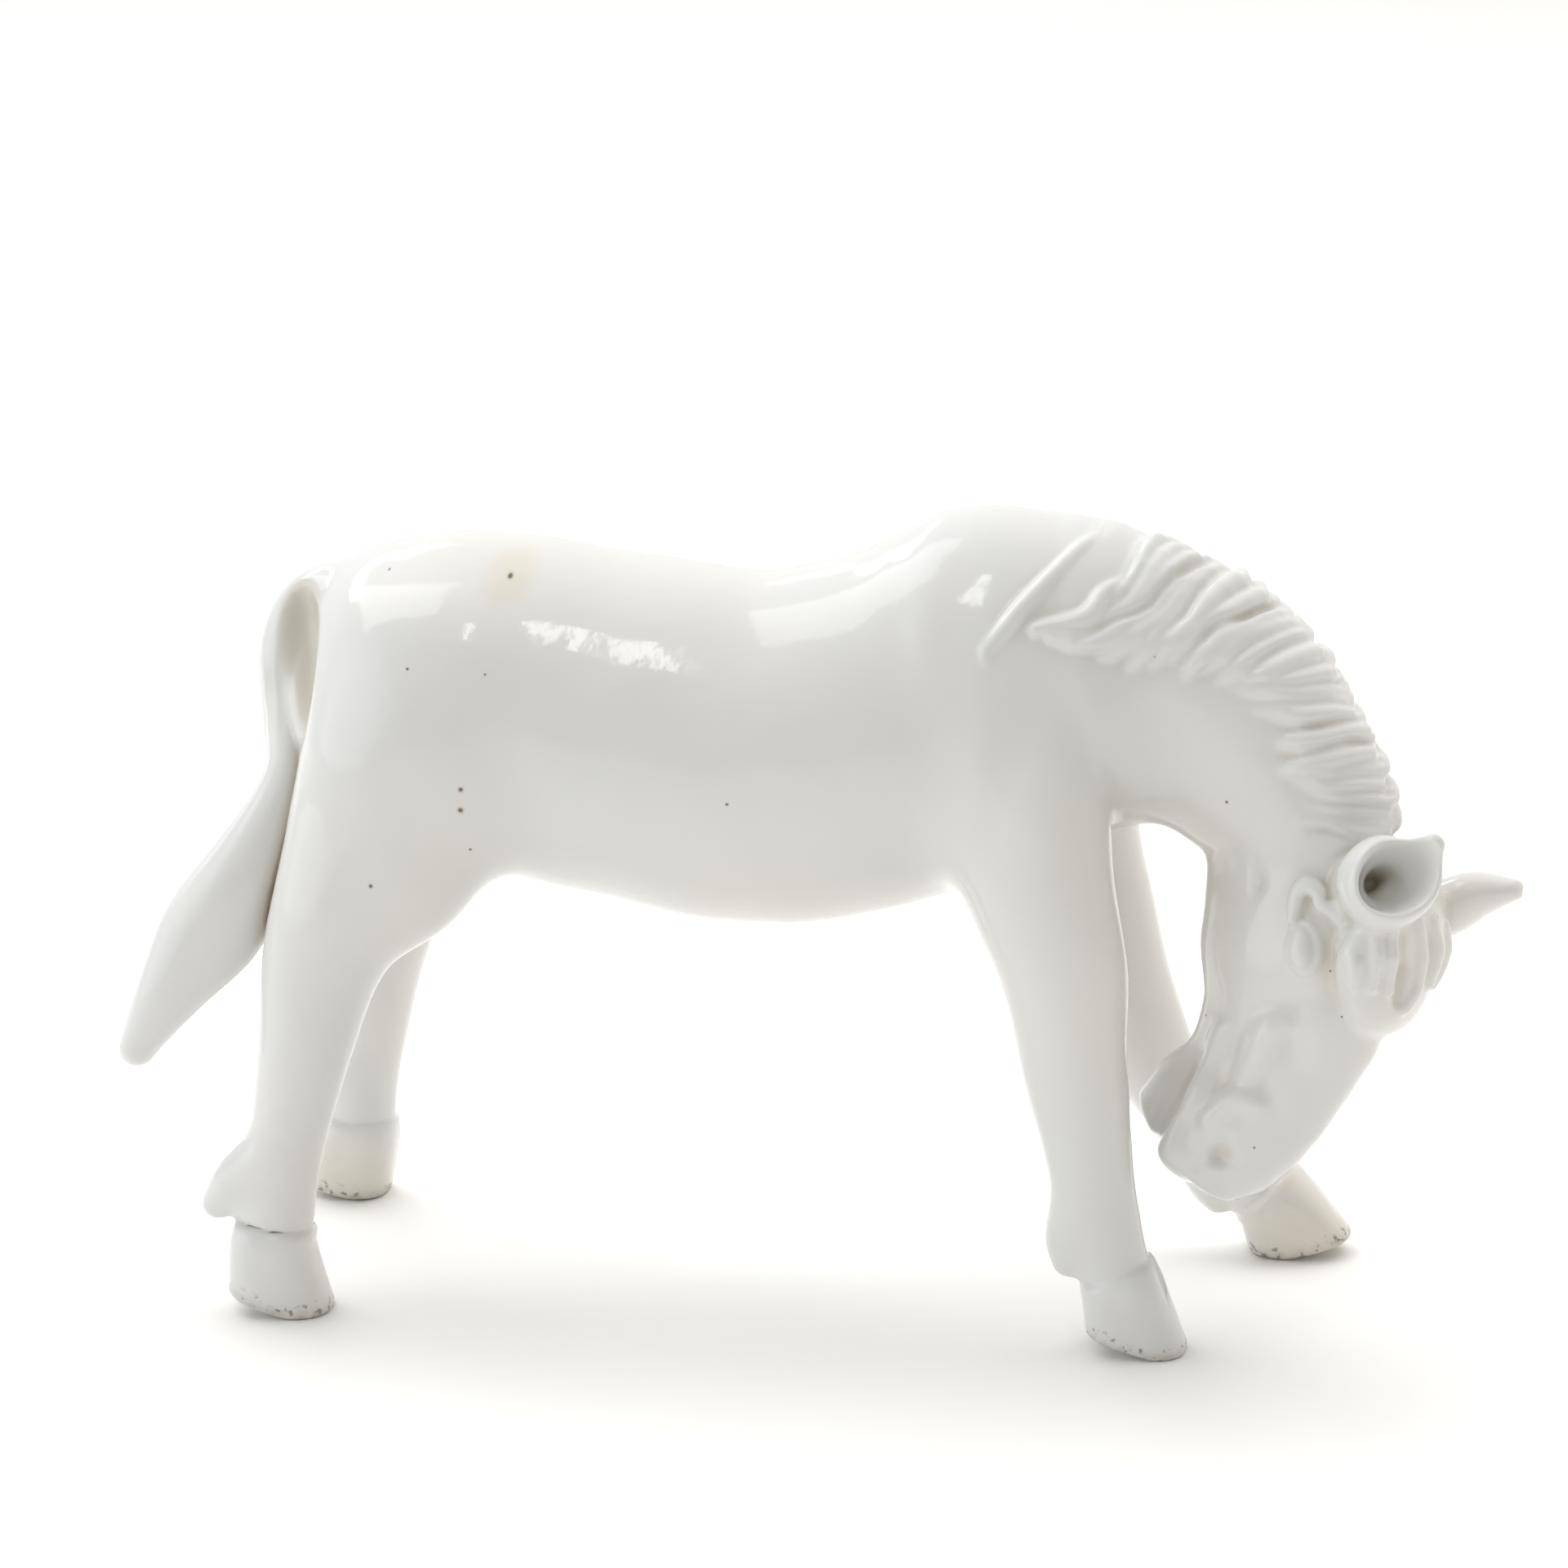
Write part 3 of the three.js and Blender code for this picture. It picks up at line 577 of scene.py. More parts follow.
    def pressed(self, solid: Solid, reach: float | None = None) -> Lump:
        """Distances from a closed skin.

        Args:
            solid: The skin.
            reach: How far from it distances are kept.

        Returns:
            The lump.
        """
        reach = reach or self.REACH
        window = self.window(solid.points.min(0) - reach, solid.points.max(0) + reach)
        grid = vdb.FloatGrid.createLevelSetFromPolygons(
            solid.points.astype(np.float32),
            quads=solid.faces.astype(np.uint32),
            transform=vdb.createLinearTransform(self.grain),
            halfWidth=reach / self.grain,
        )
        near = np.full([part.stop - part.start for part in window], reach, np.float32)
        corner = [int(self.first[axis] + part.start) for axis, part in enumerate(window)]
        grid.copyToArray(near, ijk=tuple(corner))
        return Lump(window, near)

    def rolled(self, path: np.ndarray, radii: Sequence[float], reach: float = 3.0) -> Lump:
        """Distances from a roll of clay along a path.

        Args:
            path: Points along its middle.
            radii: Its radius at each point.
            reach: How far from it distances are kept.

        Returns:
            The lump.
        """
        path, radii = np.asarray(path, np.float32), np.asarray(radii, np.float32)
        grow = radii.max() + reach
        window = self.window(path.min(0) - grow, path.max(0) + grow)
        x, y, z = self.grid(window)
        near = np.full(np.broadcast_shapes(x.shape, y.shape, z.shape), reach, np.float32)
        for a, b, ra, rb in zip(path, path[1:], radii, radii[1:]):
            span = b - a
            share = (x - a[0]) * span[0] + (y - a[1]) * span[1] + (z - a[2]) * span[2]
            share = np.clip(share / max(span @ span, TINY), 0, 1)
            off = [side - a[axis] - share * span[axis] for axis, side in enumerate((x, y, z))]
            np.minimum(near, np.sqrt(sum(part * part for part in off)) - ra - share * (rb - ra), out=near)
        return Lump(window, near)

    def oval(
        self, centre: Sequence[float], axes: np.ndarray, radii: Sequence[float], reach: float = 3.0
    ) -> Lump:
        """Distances from an oval pellet.

        Args:
            centre: Its middle.
            axes: Its three directions, as rows.
            radii: Its half-length along each.
            reach: How far from it distances are kept.

        Returns:
            The lump.
        """
        centre, axes = np.asarray(centre, np.float32), np.asarray(axes, np.float32)
        grow = max(radii) + reach
        window = self.window(centre - grow, centre + grow)
        off = [side - centre[axis] for axis, side in enumerate(self.grid(window))]
        along = [sum(off[i] * axis[i] for i in range(3)) for axis in axes]
        size = np.sqrt(sum((part / r) ** 2 for part, r in zip(along, radii)))
        slope = np.sqrt(sum((part / (r * r)) ** 2 for part, r in zip(along, radii)))
        return Lump(window, (size * (size - 1) / np.maximum(slope, 1e-6)).astype(np.float32))

    def join(self, piece: str, lump: Lump, blend: float | np.ndarray = 0.0) -> None:
        """Lute a lump to the clay.

        Args:
            piece: The piece that it belongs to.
            lump: The form.
            blend: Width of the fillet of slip, in mm, one for all or one for each cell.
        """
        if piece not in self.pieces:
            self.pieces.append(piece)
        old, near = self.field[lump.window], lump.near
        width = np.maximum(np.asarray(blend, np.float32), self.SHARP)
        share = np.clip(0.5 + 0.5 * (near - old) / width, 0, 1)
        self.field[lump.window] = near + (old - near) * share - width * share * (1 - share)
        nearest, owner = self.nearest[lump.window], self.owner[lump.window]
        mine = near < nearest
        owner[mine] = self.pieces.index(piece)
        nearest[mine] = near[mine]

    def carve(self, lump: Lump, blend: float = 0.0) -> None:
        """Take a lump away from the clay.

        Args:
            lump: The form that is taken away.
            blend: Width of the rounded edge that is left, in mm.
        """
        old, near = self.field[lump.window], -lump.near
        width = max(blend, self.SHARP)
        share = np.clip(0.5 - 0.5 * (near - old) / width, 0, 1)
        self.field[lump.window] = near + (old - near) * share + width * share * (1 - share)

    def softened(self, radius: float) -> np.ndarray:
        """The distances, blurred.

        Args:
            radius: Radius of the blur, in mm.

        Returns:
            The blurred distances.
        """
        taps = max(1, round(2.5 * radius / self.grain))
        weights = np.exp(-0.5 * (np.arange(-taps, taps + 1) * self.grain / radius) ** 2)
        weights /= weights.sum()
        values = self.field
        for axis in range(3):
            size = values.shape[axis]
            padded = np.pad(values, [(taps, taps) if a == axis else (0, 0) for a in range(3)], mode="edge")
            values = np.zeros_like(values)
            for tap, weight in enumerate(weights):
                part = [slice(None)] * 3
                part[axis] = slice(tap, tap + size)
                values += np.float32(weight) * padded[tuple(part)]
        return values

    def sample(self, points: np.ndarray, values: np.ndarray | None = None) -> np.ndarray:
        """Distances, or other values kept on the grid, at points.

        Args:
            points: Places in mm.
            values: The values, or None for the clay's distances.

        Returns:
            One value for each point.
        """
        values = self.field if values is None else values
        place = points / self.grain - self.first
        cell = np.clip(np.floor(place).astype(int), 0, self.count - 2)
        share = (place - cell).astype(np.float32)
        total = np.zeros(len(points), np.float32)
        for corner in range(8):
            step = np.array([corner & 1, corner >> 1 & 1, corner >> 2 & 1])
            weight = np.prod(np.where(step, share, 1 - share), axis=1)
            total += weight * values[tuple((cell + step).T)]
        return total

    def left_at(self, inside: np.ndarray, outside: np.ndarray, lift: float) -> np.ndarray:
        """Points at which straight lines leave the clay.

        Args:
            inside: Where the lines start.
            outside: Where they end.
            lift: Distance over the skin at which the points lie, less than zero for points under it.

        Returns:
            One point for each line.
        """
        share = np.linspace(0, 1, self.RAY_STEPS)[None, :, None]
        lines = inside[:, None, :] + (outside - inside)[:, None, :] * share
        near = self.sample(lines.reshape(-1, 3)).reshape(len(inside), -1)
        return lines[np.arange(len(inside)), np.argmax(near > lift, axis=1)]

    def thumbed(
        self, height: float, lengths: Pair, about: Sequence[float] = (0, 0, 0), within: float = 1e3
    ) -> None:
        """Leave the slight unevenness of a hand-smoothed skin.

        Args:
            height: Height of the unevenness, in mm.
            lengths: Shortest and longest of the waves that it is made of, in mm.
            about: The place round which it lies.
            within: How far from that place it reaches.
        """
        chance = np.random.default_rng(7)
        near = np.abs(self.field) < self.THUMB_BAND
        cells = (np.argwhere(near) + self.first).astype(np.float32) * np.float32(self.grain)
        total = np.zeros(len(cells), np.float32)
        for _ in range(self.WAVES):
            heading = chance.normal(size=3)
            heading *= 2 * math.pi / (np.linalg.norm(heading) * chance.uniform(*lengths))
            total += np.sin(cells @ heading.astype(np.float32) + np.float32(chance.uniform(0, 6.3)))
        away = np.linalg.norm(cells - np.asarray(about, np.float32), axis=1)
        fades = 1 - smooth(away, 0.75 * within, within)
        self.field[near] += np.float32(height / math.sqrt(self.WAVES)) * total * fades

    def growth(self, points: np.ndarray) -> tuple[np.ndarray, np.ndarray]:
        """Where and how fast the distances grow.

        Args:
            points: Places in mm.

        Returns:
            Directions of length 1, and rates, which are about 1 where the distances are true.
        """
        axes = np.eye(3) * self.grain
        change = np.stack([self.sample(points + axis) - self.sample(points - axis) for axis in axes], axis=1)
        size = np.linalg.norm(change, axis=1)
        return change / np.maximum(size, TINY)[:, None], size / (2 * self.grain)

    def settled(self, points: np.ndarray) -> tuple[np.ndarray, np.ndarray]:
        """Points moved to the clay's skin.

        Args:
            points: Places near the skin, in mm.

        Returns:
            The moved points, and the skin's normals there.
        """
        for _ in range(self.SETTLE_ROUNDS):
            heading, rate = self.growth(points)
            points = points - heading * (self.sample(points) / np.maximum(rate, self.FLATTEST))[:, None]
        return points, self.growth(points)[0]

    def skin(self) -> Skin:
        """The outside of the clay.

        Returns:
            The skin, with the piece that each face belongs to.
        """
        grid = vdb.FloatGrid(1.0)
        grid.transform = vdb.createLinearTransform(self.grain)
        grid.copyFromArray(np.clip(self.field, -1, 1), ijk=tuple(int(i) for i in self.first))
        points, faces = grid.convertToQuads(0.0)
        points, normals = self.settled(points.astype(float))
        corners = points[faces]
        facing = np.cross(corners[:, 2] - corners[:, 0], corners[:, 3] - corners[:, 1])
        if np.sum(facing * normals[faces[:, 0]]) < 0:
            faces = faces[:, ::-1]
        return Skin(points, normals, faces.astype(int), self.owner_of(corners.mean(1)))


# ---------------------------------------------------------------------------------------------------
# Pieces of the horse
# ---------------------------------------------------------------------------------------------------


@dataclass
class Trunk:
    """The barrel from buttock to breast, pressed in two halves whose seam is sponged away."""

    length: float = 71
    width: float = 31.6
    depth: float = 32.5
    height: float = 55
    domes: Pair = (3, 5)
    vent: Pair = (0.49, 1.2)
    vent_span: Pair = (0.7, 0.44)
    vent_edge: float = 0.4
    facets: int = 128
    middle: Pair = (0, 0)
    rings: Rows = (
        (0, 0.077, 0.253, 0.277, 0.308),
        (0.07, 0.062, 0.411, 0.391, 0.431),
        (0.197, 0.015, 0.481, 0.471, 0.477),
        (0.38, -0.052, 0.487, 0.492, 0.486),
        (0.577, -0.098, 0.5, 0.498, 0.502),
        (0.746, -0.037, 0.475, 0.517, 0.48),
        (0.887, 0.046, 0.427, 0.563, 0.431),
        (1, 0.092, 0.364, 0.477, 0.354),
    )

    @property
    def buttock(self) -> float:
        """The x of the trunk's rear end."""
        return self.middle[0] - self.length / 2

    @property
    def breast(self) -> float:
        """The x of the trunk's front end."""
        return self.middle[0] + self.length / 2

    def loft(self) -> Loft:
        """The trunk's skin.

        Returns:
            Its loft through the rings.
        """

        def place(ahead: float, sway: float) -> Triple:
            """Centre of a ring."""
            return self.buttock + ahead * self.length, self.middle[1], self.height + sway * self.depth

        return Loft(ringed(self.rings, place, self.width, self.depth), self.domes)

    def model(self, clay: Clay) -> None:
        """Press the trunk, and pierce the vent in the belly.

        Args:
            clay: The clay.
        """
        clay.join("trunk", clay.pressed(self.loft().solid(self.facets)))
        ahead, radius = self.vent
        x, y = self.buttock + ahead * self.length, self.middle[1]
        hole = [(x, y, self.height - share * self.depth) for share in self.vent_span]
        clay.carve(clay.rolled(np.array(hole), (radius, radius)), self.vent_edge)


@dataclass
class Neck:
    """The arched neck, whose sides turn with the head that hangs from its end."""

    trunk: Trunk
    end_left: Triple
    set_back: float = 12
    rise: float = 5
    reach: float = 34.5
    fall: float = 16
    width: float = 21
    depth: float = 25.5
    fillet: float = 5
    rings: Rows = (
        (0, 0, 0, 0.5, 0.486, 0.471),
        (0.348, 0, -0.063, 0.467, 0.471, 0.529),
        (0.652, 0.019, 0.156, 0.41, 0.416, 0.463),
        (0.87, 0.076, 0.563, 0.362, 0.31, 0.392),
        (1, 0.143, 1, 0.314, 0.235, 0.314),
    )

    def loft(self) -> Loft:
        """The neck's skin.

        Returns:
            Its loft through the rings.
        """
        root = self.trunk.breast - self.set_back
        top = self.trunk.height + self.rise
        middle = self.trunk.middle[1]

        def place(ahead: float, aside: float, fall: float) -> Triple:
            """Centre of a ring."""
            return root + ahead * self.reach, middle - aside * self.width, top - fall * self.fall

        return Loft(ringed(self.rings, place, self.width, self.depth), lefts=((0, 1, 0), self.end_left))

    def model(self, clay: Clay) -> None:
        """Lute the neck to the trunk."""
        clay.join("neck", clay.pressed(self.loft().solid()), self.fillet)


@dataclass
class Limb:
    """A leg with its hoof and the tuft behind its fetlock."""

    trunk: Trunk
    end: str
    side: Side
    root: float
    stride: float
    stance: float
    width: float
    depth: float
    rings: Rows
    tuft: Rows
    sole: Row
    dome: float = 5
    fillet: float = 5
    crease: float = 3.4
    lip: float = 0.3
    slip: float = 0.3
    square: float = 2.7
    flat: float = 0.35
    trim: float = 1.0
    crease_span: Pair = (9, 3)
    tuft_fillet: float = 1.6
    tuft_points: int = 9
    hoof_reach: float = 3.0
    hoof_rows: int = 20
    hoof_fillet: float = 0.25
    wear: Pair = (0.15, 2.4)
    wear_reach: float = 10

    @property
    def leg_name(self) -> str:
        """Name of the leg's CAD node."""
        return f"{self.end}leg_{self.side.name.lower()}"

    @property
    def hoof_name(self) -> str:
        """Name of the hoof's CAD node."""
        return f"hoof_{self.end}_{self.side.name.lower()}"

    def loft(self) -> Loft:
        """The leg's skin, from inside the trunk down to the coronet.

        Returns:
            Its loft through the rings.
        """
        middle = self.trunk.middle[1]

        def place(ahead: float, out: float, up: float) -> Triple:
            """Centre of a ring."""
            aside = middle + self.side.value * out * self.stance
            return self.root + ahead * self.stride, aside, up * self.trunk.height

        return Loft(ringed(self.rings, place, self.width, self.depth), (self.dome, 0))

    def coronet(self) -> tuple[np.ndarray, np.ndarray, np.ndarray, np.ndarray]:
        """The leg's lower end.

        Returns:
            Its centre, its directions down and ahead, and its sizes.
        """
        loft = self.loft()
        centre, forward, _, up = loft.axes(np.array(1.0))
        return centre, forward, up, loft.sizes.at(np.array(1.0))

    def hoof_loft(self) -> Loft:
        """The hoof's wall, from the coronet to below the table.

        Returns:
            Its loft.
        """
        centre, forward, _, (wide, rise, drop) = self.coronet()
        ahead, outside, length, width, _ = self.sole
        low = (centre[0] + ahead, centre[1] + self.side.value * outside, -self.trim)
        top = centre + forward * self.slip
        wall = top + forward * top[2] / 3
        lip = self.lip
        return Loft(
            [
                Ring(tuple(top), wide + lip, rise + lip, drop + lip),
                Ring(tuple(wall), wide + 2 * lip, rise + 2 * lip, drop + 2 * lip),
                Ring(low, width / 2, length / 2, length / 2),
            ],
            square=self.square,
        )

    def model(self, clay: Clay) -> None:
        """Lute the leg to the trunk, then set its tuft and hoof.

        Args:
            clay: The clay.
        """
        leg = clay.pressed(self.loft().solid())
        start, stop = (self.trunk.breast - behind for behind in self.crease_span)
        ahead = smooth(clay.grid(leg.window)[0], start, stop)
        clay.join(self.leg_name, leg, self.fillet - self.crease * ahead)
        centre, forward, up, _ = self.coronet()
        path = [centre - forward * above - up * behind for above, behind, _ in self.tuft]
        run = np.linspace(0, 1, self.tuft_points)
        radii = Spline([(radius,) for *_, radius in self.tuft]).at(run)[:, 0]
        clay.join(self.leg_name, clay.rolled(Spline(path).at(run), radii), self.tuft_fillet)
        self.model_hoof(clay)

    def over_sole(self, x: np.ndarray, z: np.ndarray) -> np.ndarray:
        """Heights over the tilted part of the sole.

        Args:
            x: Places along the horse.
            z: Heights over the table.

        Returns:
            The heights.
        """
        ahead, _, length, _, lift = self.sole
        lifted = math.copysign(1, lift)
        hinge = self.coronet()[0][0] + ahead + lifted * (0.5 - self.flat) * length
        slope = math.radians(abs(lift))
        return lifted * (x - hinge) * math.sin(slope) + z * math.cos(slope)

    def worn(self, points: np.ndarray) -> np.ndarray:
        """How worn the hoof is.

        Args:
            points: Points of the skin.

        Returns:
            Values from 1 at the sole to 0 well up the hoof's wall.
        """
        height = np.minimum(points[:, 2], self.over_sole(points[:, 0], points[:, 2]))
        away = np.linalg.norm(points[:, :2] - self.coronet()[0][:2], axis=1)
        return (1 - smooth(height, *self.wear)) * (away < self.wear_reach)

    def model_hoof(self, clay: Clay) -> None:
        """Set the hoof under the coronet, and trim its sole on the table.

        Args:
            clay: The clay.
        """
        hoof = clay.pressed(self.hoof_loft().solid(rows=self.hoof_rows), self.hoof_reach)
        x, _, z = clay.grid(hoof.window)
        under = -self.over_sole(x, z)
        near = np.maximum(hoof.near, np.maximum(-z, under))
        clay.join(self.hoof_name, Lump(hoof.window, near.astype(np.float32)), self.hoof_fillet)
        field = clay.field[hoof.window]
        np.maximum(field, -z, out=field)


@dataclass
class Tail:
    """The tail, which leaves the dock, swings to the right and lies along the right hind leg."""

    trunk: Trunk
    set_in: float = 5
    rise: float = 8
    reach: float = 21.2
    aside: float = 12
    fall: float = 40.2
    width: float = 7
    depth: float = 8
    domes: Pair = (1, 2)
    rings: Rows = (
        (0, 0, 0, 0.429, 0.325, 0.325),
        (0.264, 0, -0.025, 0.429, 0.325, 0.35),
        (0.382, 0.083, 0.095, 0.429, 0.288, 0.375),
        (0.382, 0.25, 0.251, 0.414, 0.275, 0.3),
        (0.387, 0.5, 0.37, 0.4, 0.3, 0.22),
        (0.509, 0.75, 0.55, 0.5, 0.56, 0.42),
        (0.67, 0.883, 0.7, 0.5, 0.62, 0.54),
        (0.84, 0.967, 0.85, 0.429, 0.4, 0.38),
        (0.98, 1, 0.98, 0.3, 0.23, 0.22),
    )
    kept: float = 4.0
    slip_line: float = 0.35
    dock_fillet: float = 2.0
    dock_span: Pair = (3, 10)
    hollow: tuple[Triple, Triple, Triple] = ((-47.2, -6.6, 59.6), (0.12, -0.5, -0.86), (-0.62, -0.74, 0.25))
    hollow_size: Triple = (7.0, 2.5, 2.6)
    hollow_edge: float = 1.3
    # Strength of the painted shade in the hollow beside the dock.
    hollow_shade: float = 0.9
    hollow_fade: Pair = (0.9, 1.45)
    strands: Row = (-98, -124, -150)
    strand_start: Pair = (0.2, 0.03)
    strand_run: Pair = (0.42, 0.05)
    strand_wander: Pair = (6, 4)
    strand_radii: Line = ((0, 0.15), (0.2, 0.52), (0.7, 0.52), (1, 0.15))
    strand_lift: float = 0.2
    strand_edge: float = 0.3
    strand_points: int = 33

    def loft(self) -> Loft:
        """The tail's skin.

        Returns:
            Its loft through the rings.
        """
        dock = self.trunk.buttock + self.set_in
        top = self.trunk.height + self.rise
        middle = self.trunk.middle[1]

        def place(back: float, aside: float, fall: float) -> Triple:
            """Centre of a ring."""
            return dock - back * self.reach, middle - aside * self.aside, top - fall * self.fall

        return Loft(ringed(self.rings, place, self.width, self.depth), self.domes)

    def model(self, clay: Clay) -> None:
        """Lute the tail to the dock, and lay it against the leg with only a thin line of slip.

        Args:
            clay: The clay.
        """
        lump = clay.pressed(self.loft().solid(), self.kept)
        _, _, z = clay.grid(lump.window)
        dock = smooth(z, *(self.trunk.height + above for above in self.dock_span))
        clay.join("tail", lump, self.slip_line + self.dock_fillet * dock)
        clay.carve(clay.oval(self.hollow[0], self.hollow_axes(), self.hollow_size), self.hollow_edge)
        run = np.linspace(0, 1, self.strand_points)
        sway, waves = self.strand_wander
        for number, angle in enumerate(self.strands):
            start, length = (first + more * number for first, more in (self.strand_start, self.strand_run))
            wander = np.radians(angle + sway * np.sin(waves * run + number))
            line = self.loft().skin(start + length * run, wander, self.strand_lift)
            clay.carve(clay.rolled(line, shaped(run, self.strand_radii)), self.strand_edge)

    def hollow_axes(self) -> np.ndarray:
        """Directions of the hollow beside the dock.

        Returns:
            Its directions along, across and out, as rows.
        """
        down, out = (np.asarray(part) for part in self.hollow[1:])
        down = down / np.linalg.norm(down)
        out = out - down * (out @ down)
        out = out / np.linalg.norm(out)
        return np.stack([down, np.cross(out, down), out])

    def shaded(self, points: np.ndarray) -> np.ndarray:
        """How far points of the skin lie in the hollow beside the dock, from 0 to 1, for the painted shade
        there.
        """
        reach = (points - np.asarray(self.hollow[0])) @ self.hollow_axes().T / np.asarray(self.hollow_size)
        return self.hollow_shade * (1 - smooth(np.linalg.norm(reach, axis=1), *self.hollow_fade))


@dataclass
class Head:
    """The turned head, in a frame of its own: x from poll to lips, y to the left, z out of the forehead."""

    poll: np.ndarray
    turn: Euler
    length: float = 31.7
    width: float = 15
    depth: float = 18.4
    domes: Pair = (2.5, 1.7)
    fillet: float = 2.0
    kept: float = 4.0
    roll_kept: float = 2.0
    outside: float = 0.8
    rings: Rows = (
        (-0.063, -0.027, 0.4, 0.299, 0.326),
        (0.095, 0, 0.493, 0.475, 0.6),
        (0.284, 0.016, 0.5, 0.55, 0.51),
        (0.473, 0.065, 0.42, 0.53, 0.39),
        (0.647, 0.087, 0.36, 0.435, 0.405),
        (0.795, 0.043, 0.385, 0.39, 0.467),
        (0.917, -0.045, 0.37, 0.31, 0.44),
    )
    muzzle_span: Pair = (0.72, 0.84)
    eye: Pair = (0.209, 0.215)
    eye_lift: float = 0.35
    eye_slant: Pair = (0.9, 0.43)
    eyeball: Triple = (1.9, 0.98, 1.2)
    eye_fillet: float = 0.2
    socket: Triple = (2.2, 1.3, 0.5)
    socket_edge: float = 0.5
    lid_size: Pair = (2.15, 1.15)
    lid_radius: float = 0.42
    lid_lift: float = 0.12
    lid_fillet: float = 0.5
    lid_points: int = 25
    brow: tuple[tuple[Pair, float], ...] = (
        ((0.15, 0.12), 0.5),
        ((0.115, 0.098), 0.7),
        ((0.075, 0.082), 0.78),
        ((0.043, 0.105), 0.85),
        ((0.05, 0.165), 0.78),
        ((0.078, 0.2), 0.7),
        ((0.08, 0.262), 0.75),
        ((0.1, 0.33), 0.75),
        ((0.128, 0.37), 0.5),
    )
    brow_lift: float = 0.25
    brow_fillet: float = 0.35
    brow_points: int = 41
    ridge_fillet: float = 1.1
    ridges: tuple[tuple[Line, Row, float], ...] = (
        (((0.43, 0.235), (0.465, 0.2), (0.54, 0.18), (0.62, 0.165)), (0.9, 1.3, 1.2, 0.8), -0.4),
        (((0.33, 0.36), (0.40, 0.36), (0.48, 0.375)), (1.6, 2.2, 1.6), -1.85),
        (((0.54, -0.05), (0.64, -0.055), (0.73, -0.04), (0.82, -0.075)), (0.9, 1.2, 1.2, 0.9), -0.45),
        (((0.68, 0.265), (0.688, 0.195), (0.715, 0.135), (0.78, 0.085)), (0.7, 1.0, 1.0, 0.7), -0.2),
        (((0.865, -0.07), (0.935, -0.04), (0.97, 0.03)), (1.2, 1.4, 1.2), -0.8),
    )
    hollow_edge: float = 0.9
    hollows: tuple[tuple[Line, Row, float], ...] = (
        (
            ((0.62, -0.12), (0.70, -0.125), (0.78, -0.13), (0.87, -0.15), (0.945, -0.18)),
            (0.3, 0.5, 0.7, 0.65, 0.6),
            0.1,
        ),
        (((0.925, 0.115), (0.885, 0.155), (0.85, 0.2), (0.815, 0.205)), (0.35, 0.6, 0.85, 0.45), 0.1),
        (((0.87, 0.19), (0.86, 0.265)), (0.7, 0.45), 0.15),
        (((0.07, -0.19), (0.10, -0.15), (0.125, -0.14)), (0.6, 0.9, 0.6), 0.55),
    )
    mouth: Line = ((0.93, -0.17), (0.945, -0.18))
    mouth_front: float = -0.19
    mouth_lift: float = 0.1
    mouth_radius: float = 0.6
    mouth_edge: float = 0.7

    @property
    def hang(self) -> Matrix:
        """The matrix from the head's own frame to the figurine's."""
        return Matrix.Translation(Vector(self.poll)) @ self.turn.to_matrix().to_4x4()

    def out(self, points: np.ndarray) -> np.ndarray:
        """Points of the head's frame in the figurine's."""
        return points @ np.array(self.turn.to_matrix()).T + self.poll

    def muzzle(self, points: np.ndarray) -> np.ndarray:
        """How much of the muzzle each point is, from 0 to 1.

        Args:
            points: Points in the figurine's frame.

        Returns:
            The values.
        """
        own = (points - self.poll) @ np.array(self.turn.to_matrix())
        near = np.linalg.norm(own[:, 1:], axis=1) < self.depth
        return smooth(own[:, 0] / self.length, *self.muzzle_span) * near

    def loft(self) -> Loft:
        """The head's skin in its own frame.

        Returns:
            Its loft through the rings.
        """

        def place(ahead: float, bow: float) -> Triple:
            """Centre of a ring."""
            return ahead * self.length, 0, bow * self.depth

        return Loft(ringed(self.rings, place, self.width, self.depth), self.domes)

    def laid(
        self, clay: Clay, places: Sequence[Pair], side: Side, lift: float, count: int
    ) -> np.ndarray:
        """A smooth line that lies on the side of the head, in the figurine's frame.

        Args:
            clay: The clay as it is so far.
            places: Shares of the head's length from the poll, and of its depth towards the forehead.
            side: Right or left.
            lift: Distance off the skin.
            count: Number of points on the line.

        Returns:
            The points.
        """
        line = Spline(places).at(np.linspace(0, 1, count)) * (self.length, self.depth)
        beside = np.full(count, side.value * self.outside * self.width)
        outer = np.stack([line[:, 0], beside, line[:, 1]], axis=1)
        return clay.left_at(self.out(outer * (1, 0, 1)), self.out(outer), lift)

    def roll(
        self,
        clay: Clay,
        places: Sequence[Pair],
        radii: Sequence[float],
        side: Side,
        lift: float,
        count: int = 17,
    ) -> Lump:
        """A roll of clay on the side of the head.

        Args:
            clay: The clay as it is so far.
            places: As for laid.
            radii: Its radius at each place.
            side: Right or left.
            lift: Distance of its middle off the skin.
            count: Number of points on its middle.

        Returns:
            The lump.
        """
        sizes = Spline([(radius,) for radius in radii]).at(np.linspace(0, 1, count))[:, 0]
        return clay.rolled(self.laid(clay, places, side, lift, count), sizes, self.roll_kept)

    def model(self, clay: Clay) -> None:
        """Hang the head from the neck, model its face, and set the eyes and brows.

        Args:
            clay: The clay.
        """
        clay.join("head", clay.pressed(self.loft().solid().placed(self.hang), self.kept), self.fillet)
        for side in Side:
            for places, radii, lift in self.ridges:
                clay.join("head", self.roll(clay, places, radii, side, lift), self.ridge_fillet)
        for side in Side:
            for places, radii, lift in self.hollows:
                clay.carve(self.roll(clay, places, radii, side, lift), self.hollow_edge)
            self.model_lips(clay, side)
            self.model_eye(clay, side)
            places, radii = zip(*self.brow)
            brow = self.roll(clay, places, radii, side, self.brow_lift, self.brow_points)
            clay.join(f"brow_{side.name.lower()}", brow, self.brow_fillet)

